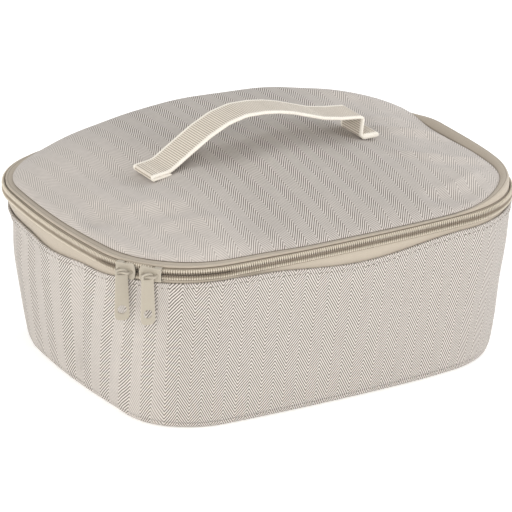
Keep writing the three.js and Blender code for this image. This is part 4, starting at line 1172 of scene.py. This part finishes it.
def repeated(name, points, outward, shape_mesh, pitch, unevenness, seed, finish):
    path = bpy.data.meshes.new(name + "_path")
    path.from_pydata(points.tolist(), [(k, k + 1) for k in range(len(points) - 1)], [])
    facing = path.attributes.new("outward", "FLOAT_VECTOR", "POINT")
    facing.data.foreach_set("vector", np.asarray(outward, np.float32).ravel())
    carrier = new_object(name + "_path", path)
    shape = new_object(name + "_shape", shape_mesh)
    tree = repeat_tree(name + "_repeats", finish)
    modifier = carrier.modifiers.new("repeats", "NODES")
    modifier.node_group = tree
    values = {"Shape": shape, "Pitch": pitch, "Unevenness": unevenness, "Seed": seed}
    for item in tree.interface.items_tree:
        if item.in_out == "INPUT" and item.name in values:
            modifier[item.identifier] = values[item.name]
    seen = carrier.evaluated_get(bpy.context.evaluated_depsgraph_get())
    mesh = bpy.data.meshes.new_from_object(seen)
    mesh.name = name
    carrier.modifiers.remove(modifier)
    for helper in (carrier, shape):
        bpy.data.objects.remove(helper)
    mesh.shade_smooth()
    return mesh


def tube_mesh(name, path, radii, sides, closed=False):
    path = np.asarray(path, float)
    count = len(path)
    tangents = np.roll(path, -1, 0) - np.roll(path, 1, 0) if closed else np.gradient(path, axis=0)
    tangents = unit_vectors(tangents)
    guide = np.array((0.31, 0.17, 0.94))
    turn = full_turn(sides)
    rings = []
    side = np.cross(tangents[0], guide)
    for k in range(count):
        side = side - tangents[k] * np.dot(side, tangents[k])
        side /= np.linalg.norm(side)
        other = np.cross(tangents[k], side)
        radius = radii[k] if hasattr(radii, "__len__") else radii
        rings.append(path[k] + radius * (np.cos(turn)[:, None] * side + np.sin(turn)[:, None] * other))
    rows = np.array(rings)
    poles = {} if closed else {"first_pole": tuple(path[0]), "last_pole": tuple(path[-1])}
    mesh = grid_mesh(name, rows, loop_rows=closed, loop_columns=True, **poles)
    return outward_faces(mesh)


def outward_faces(mesh):
    made = bmesh.new()
    made.from_mesh(mesh)
    bmesh.ops.recalc_face_normals(made, faces=made.faces)
    made.to_mesh(mesh)
    made.free()
    mesh.shade_smooth()
    return mesh


def stitch_shape(name, length, radius):
    share = np.linspace(-1, 1, 6)
    arch = radius * 1.1 * (1 - share**4) - radius * 0.9
    path = np.stack((share * length / 2, 0 * share, arch), axis=1)
    return tube_mesh(name, path, radius * (1 - 0.35 * share**6), 6)


# Chain: two rows of nylon loops on a cord coloured dark as painted shade, parted round the sliders
PARTING_RUN = run_at(LEFT_FRONT, SLIDER_PLACE)
PARTED_REACH = SLIDER_NOSE_GAP / 2 + 3.4 * MM + 0.5 * MM
CLOSED_REACH = SLIDER_NOSE_GAP / 2 + SLIDER_LENGTH - 2.25 * MM
PARTED_BY = 1.6 * MM
LOOP_PITCH = 1.45 * MM

# Room for a slider's neck between the rows, along the sliders' travel
LEFT_TRAVEL = math.radians(20) * CORNER_RADIUS
RIGHT_TRAVEL = math.radians(44) * CORNER_RADIUS
NECK_HALF = 0.11 * MM
NECK_ROOM = 0.15 * MM
NECK_FADE = 9 * MM
NECK_END = 4.9 * MM
HEAD_REACH = -0.7 * MM
TAIL_REACH = 3.4 * MM


def row_spread(run):
    return PARTED_BY * (1 - smoothstep(PARTED_REACH, CLOSED_REACH, np.abs(run - PARTING_RUN)))


# 1 along the sliders' travel, where the loops' heads stop short of the middle, and 0 beyond it
def neck_track(run):
    left = PARTING_RUN - NECK_END - LEFT_TRAVEL
    right = PARTING_RUN + NECK_END + RIGHT_TRAVEL
    return smoothstep(left - NECK_FADE, left, run) * (1 - smoothstep(right, right + NECK_FADE, run))


def drawn_back(run, reach):
    return np.maximum(neck_track(run) * (NECK_ROOM - reach) - row_spread(run), 0)


def draw_back_heads(mesh, side):
    points = np.empty(3 * len(mesh.vertices))
    mesh.vertices.foreach_get("co", points)
    points = points.reshape(-1, 3)
    centre_x, centre_y, radius, start, _ = ARCS[LEFT_FRONT]
    x, y = points[:, 0] - centre_x, points[:, 1] - centre_y
    run = ARC_STARTS[LEFT_FRONT] + (np.mod(np.arctan2(y, x), 2 * np.pi) - start) * radius
    at_corner = np.abs(np.hypot(x, y) - radius) < 4 * MM
    across = (points[:, 2] - ZIP_HEIGHT) * side - row_spread(run)
    share = (TAIL_REACH - across) / (TAIL_REACH - HEAD_REACH)
    points[:, 2] += side * at_corner * share * drawn_back(run, HEAD_REACH)
    mesh.vertices.foreach_set("co", points.ravel())


# One loop of the coil, its head at the middle of the chain marked for a darker tone, painted shade where the
# rows interlock
def loop_shape(name, side):
    section = np.array([
        (2.75, 0.45), (3.0, 1.0), (2.65, 1.6), (1.7, 1.85), (0.7, 1.75),
        (-0.05, 1.5), (-0.3, 1.1), (0.0, 0.7), (0.9, 0.5), (1.9, 0.4),
    ]) * MM
    lean = np.linspace(-0.25, 0.25, 10) * MM
    path = np.stack((lean * np.sin(np.linspace(0, np.pi, 10)), side * section[:, 0], section[:, 1]), axis=1)
    mesh = tube_mesh(name, path, 0.38 * MM, 6, closed=True)
    reach = np.array([side * vertex.co.y for vertex in mesh.vertices])
    head = mesh.attributes.new("head", "FLOAT", "POINT")
    head.data.foreach_set("value", (1 - smoothstep(0.8 * MM, 1.5 * MM, reach)).astype(np.float32))
    return mesh


def chain_strip(name, body, run, side, middle, half_wide, low, high, finish):
    turn = full_turn(10)
    centre = ZIP_HEIGHT + side * (row_spread(run) + middle + drawn_back(run, middle - half_wide))
    depth, half_deep = (low + high) / 2, (high - low) / 2
    section = [(depth + half_deep * np.cos(a) + 0 * run, centre + half_wide * np.sin(a)) for a in turn]
    mesh = grid_mesh(name, section_rows(run, section), loop_rows=True)
    add_piece(name, mesh, body, finish)


# Each row: loops over a dark cord at the middle and a paler sewn bed beside it; the cord's dark tone and the
# bed's tone, darker than the tape, are painted shade at the chain's middle and between the loops
def chain_rows():
    trim = STOP_LENGTH + 2 * SEAM_GAP
    for side, body, start in ((1, "lid", 0.0), (-1, "tub", LOOP_PITCH / 2)):
        run = np.linspace(ZIP_END + trim + start, OUTLINE - ZIP_END - trim, 1600)
        base = outline_points(run, SEAM_GAP + 0.0 * run, ZIP_HEIGHT + side * row_spread(run))
        shape = loop_shape(body + "_loop", side)
        loops = repeated(body + "_chain", base, outward_of(run), shape, LOOP_PITCH, 0.02, 3, COIL_NYLON)
        draw_back_heads(loops, side)
        node = "lid_zip_coil" if body == "lid" else "body_zip_coil"
        add_piece(body + "_chain_loops", loops, body, None, (node,))
        strip_run = zip_runs(trim, 500)
        chain_strip(body + "_chain_cord", body, strip_run, side, middle=0.7 * MM, half_wide=0.65 * MM,
                    low=0.5 * MM, high=1.3 * MM, finish=COIL_CORD_SHADED)
        chain_strip(body + "_chain_bed", body, strip_run, side, middle=2.3 * MM, half_wide=1.05 * MM,
                    low=0.2 * MM, high=1.8 * MM, finish=COIL_BED_SHADED)


# Stitch rows on cloth
def stitch_row(name, body, run, offset, z, outward, length, pitch, finish, seed):
    line = outline_points(run, offset, z)
    thread = stitch_shape(name + "_thread", length, 0.3 * MM)
    mesh = repeated(name, line, outward, thread, pitch, 0.05, seed, finish)
    add_piece(name, mesh, body, None)


def hem_stitches():
    run = np.linspace(0, OUTLINE, 1400)
    z = ZIP_HEIGHT - tub_band(run) - HEM_STITCH
    stitch_row("hem_stitches", "tub", run, wall_face(run, z) + 0.05 * MM, z, outward_of(run),
               1.1 * MM, 3.7 * MM, HEM_THREAD, 2)


def binding_stitches(offset, z):
    run = np.linspace(0, OUTLINE, 1200)
    stitch_row("rim_stitches", "tub", run, offset + 0 * run, z + 0 * run, -outward_of(run),
               2.6 * MM, 3.8 * MM, CREAM_THREAD, 9)


# Carry handle: webbing that folds under at its left foot and turns out at its right foot
def rounded_path(corners, fillets, step):
    corners = [np.array(c, float) for c in corners]
    line = [corners[0]]
    for before, at, after, radius in zip(corners, corners[1:], corners[2:], fillets):
        to, away = at - before, after - at
        to /= np.linalg.norm(to)
        away /= np.linalg.norm(away)
        turn = math.acos(np.clip(np.dot(to, away), -1, 1))
        cut = radius * math.tan(turn / 2)
        first, last = at - to * cut, at + away * cut
        for share in np.linspace(0, 1, 9):
            a = first + (at - first) * share
            b = at + (last - at) * share
            line.append(a + (b - a) * share)
    line.append(corners[-1])
    line = np.array(line)
    lengths = lengths_along(line)
    count = int(lengths[-1] / step)
    even = np.linspace(0, lengths[-1], count)
    return np.stack([np.interp(even, lengths, line[:, k]) for k in range(2)], axis=1)


# The handle's arch from left to right: place and height above the zip in mm
STRAP_CREST = (
    (-68, 26), (-53, 35.5), (-40, 43.5), (-27, 49.6), (-14, 52.5), (-1, 52.1), (10, 50.5), (20, 48),
    (30, 44.6), (42, 40.4), (55, 37.8),
)


def strap_line():
    left_floor = (lid_height(-74 * MM, 0) - ZIP_HEIGHT) / MM + 1.3
    right_floor = (lid_height(74 * MM, 0) - ZIP_HEIGHT) / MM + 1.8
    corners = [(-67.5, 24.1), (-80.2, left_floor), (-80.2, left_floor + 2.0), (-77, left_floor + 2.4)]
    fillets = [0.9, 0.9, 6]
    corners += STRAP_CREST
    fillets += [14] + [20] * (len(STRAP_CREST) - 1)
    corners += [(70.4, 36.0), (68.6, right_floor - 0.4), (81.3, right_floor - 0.6)]
    fillets += [2.4, 2.4]
    line = rounded_path(corners, fillets, 0.38)
    return line * MM + (0, ZIP_HEIGHT)


def handle():
    line = strap_line()
    tangent = unit_vectors(np.gradient(line, axis=0))
    out = np.stack((-tangent[:, 1], tangent[:, 0]), axis=1)
    length = lengths_along(line)
    half_wide, half_thick = STRAP_WIDTH / 2, STRAP_THICKNESS / 2
    flat_across = np.linspace(-1, 1, 15) * (half_wide - half_thick)
    nose = np.linspace(-np.pi / 2, np.pi / 2, 7)[1:-1]
    top = [(a, half_thick) for a in flat_across]
    far = [(half_wide - half_thick + half_thick * math.cos(t), -half_thick * math.sin(t)) for t in nose]
    under = [(a, -half_thick) for a in flat_across[::-1]]
    near = [(-half_wide + half_thick - half_thick * math.cos(t), half_thick * math.sin(t)) for t in nose]
    section = np.array(top + far + under + near)
    body = 1 - smoothstep(half_wide - 2.6 * MM, half_wide - 2.0 * MM, np.abs(section[:, 0]))
    rib = np.abs(np.sin(np.pi * length / STRAP_RIB))
    bead = np.sin(2 * np.pi * length / STRAP_RIB)
    side = np.sign(section[:, 1])
    lift = side[:, None] * (body[:, None] * (rib[None, :] - 0.7) * 0.32 * MM
                            + (1 - body[:, None]) * (0.12 * MM + 0.10 * MM * bead[None, :]))
    height = section[:, 1][:, None] + np.where(np.abs(section[:, 1])[:, None] > 0.3 * MM, lift, 0)
    ends = np.minimum(length, length[-1] - length)
    doubled = 1 + 0.75 * smoothstep(0, 2 * MM, length - length[-1] + 12 * MM)
    height = height * (doubled * (0.55 + 0.45 * smoothstep(0, 1.2 * MM, ends)))[None, :]
    beaded_edge = 0.08 * MM * bead[None, :] * (1 - body[:, None])
    width = section[:, 0][:, None] + np.sign(section[:, 0])[:, None] * beaded_edge
    x = line[None, :, 0] + out[None, :, 0] * height
    z = line[None, :, 1] + out[None, :, 1] * height
    rows = np.stack((x, width, z), axis=-1)
    uvs = joined(length[None, :], section[:, :1])
    mesh = outward_faces(grid_mesh("handle", rows, uvs, loop_rows=True))
    add_piece("handle_webbing", mesh, "lid", WEBBING, ("handle_strap",))
    return line


def handle_stitches(line):
    half = STRAP_WIDTH / 2 - 4 * MM
    across = np.linspace(-half, half, 60)
    right_tail = line[-1] - (4 * MM, 0)
    left_foot = (-75 * MM, lid_height(-74 * MM, 0) + 4.6 * MM)
    right_foot = right_tail + (0, 1.75 * MM)
    for name, (x, z), seed in (("right_foot_stitches", right_foot, 4), ("left_foot_stitches", left_foot, 6)):
        points = np.stack((x + 0 * across, across, z + 0 * across), axis=1)
        upward = np.tile((0.0, 0.0, 1.0), (len(points), 1))
        thread = stitch_shape(name + "_thread", 2.2 * MM, 0.28 * MM)
        mesh = repeated(name, points, upward, thread, 3.0 * MM, 0.05, seed, CREAM_THREAD)
        add_piece(name, mesh, "lid", None)


# Sliders and pulls: cast and enamelled, with rounded rims
def even_loop(points, spacing):
    closed = np.vstack((points, points[:1]))
    lengths = lengths_along(closed)
    count = max(int(lengths[-1] / spacing), 12)
    even = np.arange(count) * lengths[-1] / count
    return np.stack([np.interp(even, lengths, closed[:, k]) for k in range(2)], axis=1)


def quad_curve(start, bend, end, count):
    share = np.linspace(0, 1, count, endpoint=False)[:, None]
    start, bend, end = (np.array(p, float) for p in (start, bend, end))
    return (1 - share) ** 2 * start + 2 * share * (1 - share) * bend + share**2 * end


# Closed loop through marks of (point, bend on the way to the next point, steps), in mm
def curved_loop(marks, spacing):
    ends = marks[1:] + marks[:1]
    parts = [quad_curve(at, bend, end[0], steps) for (at, bend, steps), end in zip(marks, ends)]
    return even_loop(np.vstack(parts) * MM, spacing)


def inset_loop(loop, inset):
    tangent = unit_vectors(np.roll(loop, -1, 0) - np.roll(loop, 1, 0))
    return loop + inset * np.stack((-tangent[:, 1], tangent[:, 0]), axis=1)


# Flat plate with rounded rims from counter-clockwise loops, the first its outside and the rest its holes
def rounded_plate(made, loops, low, high, edge):
    rim = made.verts.layers.float.get("rim") or made.verts.layers.float.new("rim")
    turn = np.linspace(0, np.pi / 2, 4)
    profile = [(edge * (1 - math.sin(a)), low + edge * (1 - math.cos(a)), math.sin(a)) for a in turn]
    profile += [(edge * (1 - math.cos(a)), high - edge * (1 - math.sin(a)), math.cos(a)) for a in turn]
    caps = ([], [])
    for number, loop in enumerate(loops):
        sign = 1 if number == 0 else -1
        rings = []
        for inset, z, edge_share in profile:
            ring = [made.verts.new((x, y, z)) for x, y in inset_loop(loop, sign * inset)]
            for vertex in ring:
                vertex[rim] = edge_share
            rings.append(ring)
        for lower, upper in zip(rings, rings[1:]):
            for k in range(len(lower)):
                n = (k + 1) % len(lower)
                made.faces.new((lower[k], lower[n], upper[n], upper[k]))
        for cap, ring in zip(caps, (rings[0], rings[-1])):
            for k in range(len(ring)):
                cap.append(made.edges.get((ring[k], ring[(k + 1) % len(ring)])))
    for cap in caps:
        bmesh.ops.triangle_fill(made, use_beauty=True, use_dissolve=False, edges=cap)


def finish_casting(made, name, matrix):
    bmesh.ops.recalc_face_normals(made, faces=made.faces)
    mesh = bpy.data.meshes.new(name)
    made.to_mesh(mesh)
    made.free()
    mesh.transform(matrix)
    mesh.shade_smooth()
    mesh.set_sharp_from_angle(angle=math.radians(50))
    return mesh


def plate_outline():
    nose, wide, narrow = 7.0, 5.3, 4.3
    neck, corner, steps = 3.4, 1.6, 10
    shoulder = nose - neck
    waist, flat = shoulder - neck / 2, shoulder + 0.6
    middle = (wide + narrow) / 2
    return curved_loop([
        ((-nose + corner, -narrow), (shoulder - neck, -narrow), steps),
        ((waist, -middle), (shoulder, -wide), steps),
        ((flat, -wide), (nose, -wide), steps),
        ((nose, 0), (nose, wide), steps),
        ((flat, wide), (shoulder, wide), steps),
        ((waist, middle), (shoulder - neck, narrow), steps),
        ((-nose + corner, narrow), (-nose, narrow), steps),
        ((-nose, narrow - corner), (-nose, 0), steps),
        ((-nose, -narrow + corner), (-nose, -narrow), steps),
    ], 0.55 * MM)


def box_loop(x0, x1, y0, y1):
    return even_loop(np.array(((x0, y0), (x1, y0), (x1, y1), (x0, y1))) * MM, 0.45 * MM)


BRIDGE_HEIGHT = 7.785 * MM
BRIDGE_SPAN = 8.8 * MM
PULL_LEAN = math.radians(40)


def slider_mesh(name, matrix):
    made = bmesh.new()
    loop = plate_outline()
    rounded_plate(made, [loop], 2.9 * MM, 4.0 * MM, 0.5 * MM)
    rounded_plate(made, [loop], -2.75 * MM, -1.65 * MM, 0.4 * MM)
    rounded_plate(made, [box_loop(3.4, 6.5, -NECK_HALF / MM, NECK_HALF / MM)], -2.2 * MM, 3.5 * MM, 0.05 * MM)
    for side in (1, -1):
        low, high = sorted((side * 3.5, side * 4.3))
        rounded_plate(made, [box_loop(-6.9, -2.5, low, high)], 0.3 * MM, 3.5 * MM, 0.15 * MM)
    foot, rod = 3.4 * MM, 0.8 * MM
    half = BRIDGE_SPAN / 2
    corners = [(-half, foot), (-half, BRIDGE_HEIGHT), (half, BRIDGE_HEIGHT), (half, foot)]
    line = rounded_path(corners, [1.6 * MM, 1.6 * MM], 0.3 * MM)
    path = np.stack((line[:, 0], 0 * line[:, 0], line[:, 1]), axis=1)
    climb = (line[:, 1] - foot) / (BRIDGE_HEIGHT - foot)
    arch = tube_mesh(name + "_bridge", path, rod * (1.5 - 0.5 * smoothstep(0, 0.5, climb)), 14)
    made.from_mesh(arch)
    return finish_casting(made, name, matrix)


def pull_mesh(name, matrix):
    top, bottom, head, foot, corner = 3.745, 4.6, 2.3, -30.7, 4.0
    between, halfway = (top + bottom) / 2, (foot + corner) / 2
    outside = curved_loop([
        ((-top, 0), (-between, halfway), 24),
        ((-bottom, foot + corner), (-bottom, foot), 14),
        ((corner - bottom, foot), (0, foot), 4),
        ((bottom - corner, foot), (bottom, foot), 14),
        ((bottom, foot + corner), (between, halfway), 24),
        ((top, 0), (top, head), 12),
        ((0, head), (-top, head), 12),
    ], 0.5 * MM)
    eye_half, eye_top, eye_foot, eye_corner = 2.5457, 1.1, -1.4, 0.6
    eye = curved_loop([
        ((eye_half, eye_foot + eye_corner), (eye_half, 0), 4),
        ((eye_half, eye_top / 2), (eye_half, eye_top), 10),
        ((0, eye_top), (-eye_half, eye_top), 10),
        ((-eye_half, eye_top / 2), (-eye_half, 0), 4),
        ((-eye_half, eye_foot + eye_corner), (-eye_half, eye_foot), 5),
        ((-eye_half + eye_corner, eye_foot), (0, eye_foot), 5),
        ((eye_half - eye_corner, eye_foot), (eye_half, eye_foot), 5),
    ], 0.4 * MM)
    hole_radius, hole_up = 2.75, 7.0
    turn = full_turn(32)
    hole = np.stack((hole_radius * np.cos(turn), foot + hole_up + hole_radius * np.sin(turn)), axis=1) * MM
    made = bmesh.new()
    rounded_plate(made, [outside, eye, hole], -0.7 * MM, 0.7 * MM, 0.35 * MM)
    return finish_casting(made, name, matrix)


def sliders():
    arc = ARCS[LEFT_FRONT]
    middle = arc[3] + SLIDER_PLACE * (arc[4] - arc[3])
    apart = (SLIDER_LENGTH + SLIDER_NOSE_GAP) / 2 / CORNER_RADIUS
    for side, sign in (("left", -1), ("right", 1)):
        angle = middle + sign * apart
        outward = Vector((math.cos(angle), math.sin(angle), 0))
        along = Vector((-math.sin(angle), math.cos(angle), 0))
        at = Vector((arc[0], arc[1], 0)) + outward * CORNER_RADIUS + Vector((0, 0, ZIP_HEIGHT))
        stand = Matrix.Translation(at) @ Matrix((along, (0, 0, 1), outward)).transposed().to_4x4()
        half_turn = Matrix.Rotation(math.pi if sign > 0 else 0, 4, "Z")
        body = "slider_" + side
        casting = slider_mesh(body, stand @ half_turn)
        add_piece(body + "_casting", casting, body, ENAMEL, (body,))
        swung = stand @ Matrix.Translation((0, 0, BRIDGE_HEIGHT)) @ Matrix.Rotation(PULL_LEAN, 4, "Y")
        tab = "pull_" + side
        add_piece(tab + "_tab", pull_mesh(tab, swung), tab, ENAMEL, (tab,))


def zip_stops():
    for node in ("body_stop_left", "body_stop_right", "lid_stop_left", "lid_stop_right"):
        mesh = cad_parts[node].data
        mesh.materials.clear()
        mesh.materials.append(COIL_NYLON)


# Camera, floor and light
def camera():
    azimuth, elevation = math.radians(-30.1), math.radians(22.0)
    looked_at, distance = Vector((-0.0005, 0.0003, 0.0579)), 2.803
    level = math.cos(elevation)
    back = Vector((math.sin(azimuth) * level, -math.cos(azimuth) * level, math.sin(elevation)))
    lens = bpy.data.cameras.new("camera")
    lens.sensor_width = 36
    lens.lens = 313.7
    lens.clip_end = 50
    eye = new_object("camera", lens)
    eye.location = looked_at + back * distance
    eye.rotation_euler = back.to_track_quat("Z", "Y").to_euler()
    bpy.context.scene.camera = eye


def floor():
    made = bmesh.new()
    bmesh.ops.create_grid(made, x_segments=2, y_segments=2, size=6)
    mesh = bpy.data.meshes.new("floor")
    made.to_mesh(mesh)
    made.free()
    paper = Finish("floor_paper", 0.9, Emission_Strength=0.28)
    grain = paper.noise(paper.place(), 60.0, 3.0)
    paper.set("Base Color", paper.mix(grain, colour(248, 248, 247), colour(251, 251, 250)))
    mesh.materials.append(paper.material)
    ground = new_object("floor", mesh)


def soft_light(name, at, power, tint):
    lamp = bpy.data.lights.new(name, "AREA")
    lamp.shape = "DISK"
    lamp.size = 1.2
    lamp.energy = power
    lamp.color = tint
    light = new_object(name, lamp)
    light.location = at
    light.rotation_euler = (Vector(at) - Vector((0, 0, 0.06))).to_track_quat("Z", "Y").to_euler()


def lights():
    world = bpy.data.worlds.new("studio")
    world.use_nodes = True
    sky = world.node_tree.nodes["Background"]
    sky.inputs["Color"].default_value = (1.0, 1.0, 1.0, 1.0)
    sky.inputs["Strength"].default_value = 0.54
    bpy.context.scene.world = world
    warm, plain = (1.0, 0.975, 0.93), (1.0, 0.995, 0.99)
    soft_light("front_left", (-1.6, -1.6, 0.9), 25.5, warm)
    soft_light("front_right", (1.7, -1.4, 0.8), 25, plain)
    soft_light("left", (-2.2, 0.2, 0.8), 8.5, warm)
    soft_light("upper_left", (-1.7, 0.7, 1.6), 7.5, warm)
    soft_light("upper_right", (1.8, 0.6, 1.5), 12, plain)
    bpy.context.scene.view_settings.view_transform = "Standard"


camera()
floor()
lights()
tub_padding_and_liner()
tub_cloth()
base_cloth()
rim_flap = rim_binding()
zip_tapes()
lid_pieces()
lid_binding()
hinge_cloth()
chain_rows()
hem_stitches()
binding_stitches(*rim_flap)
strap_path = handle()
handle_stitches(strap_path)
sliders()
zip_stops()
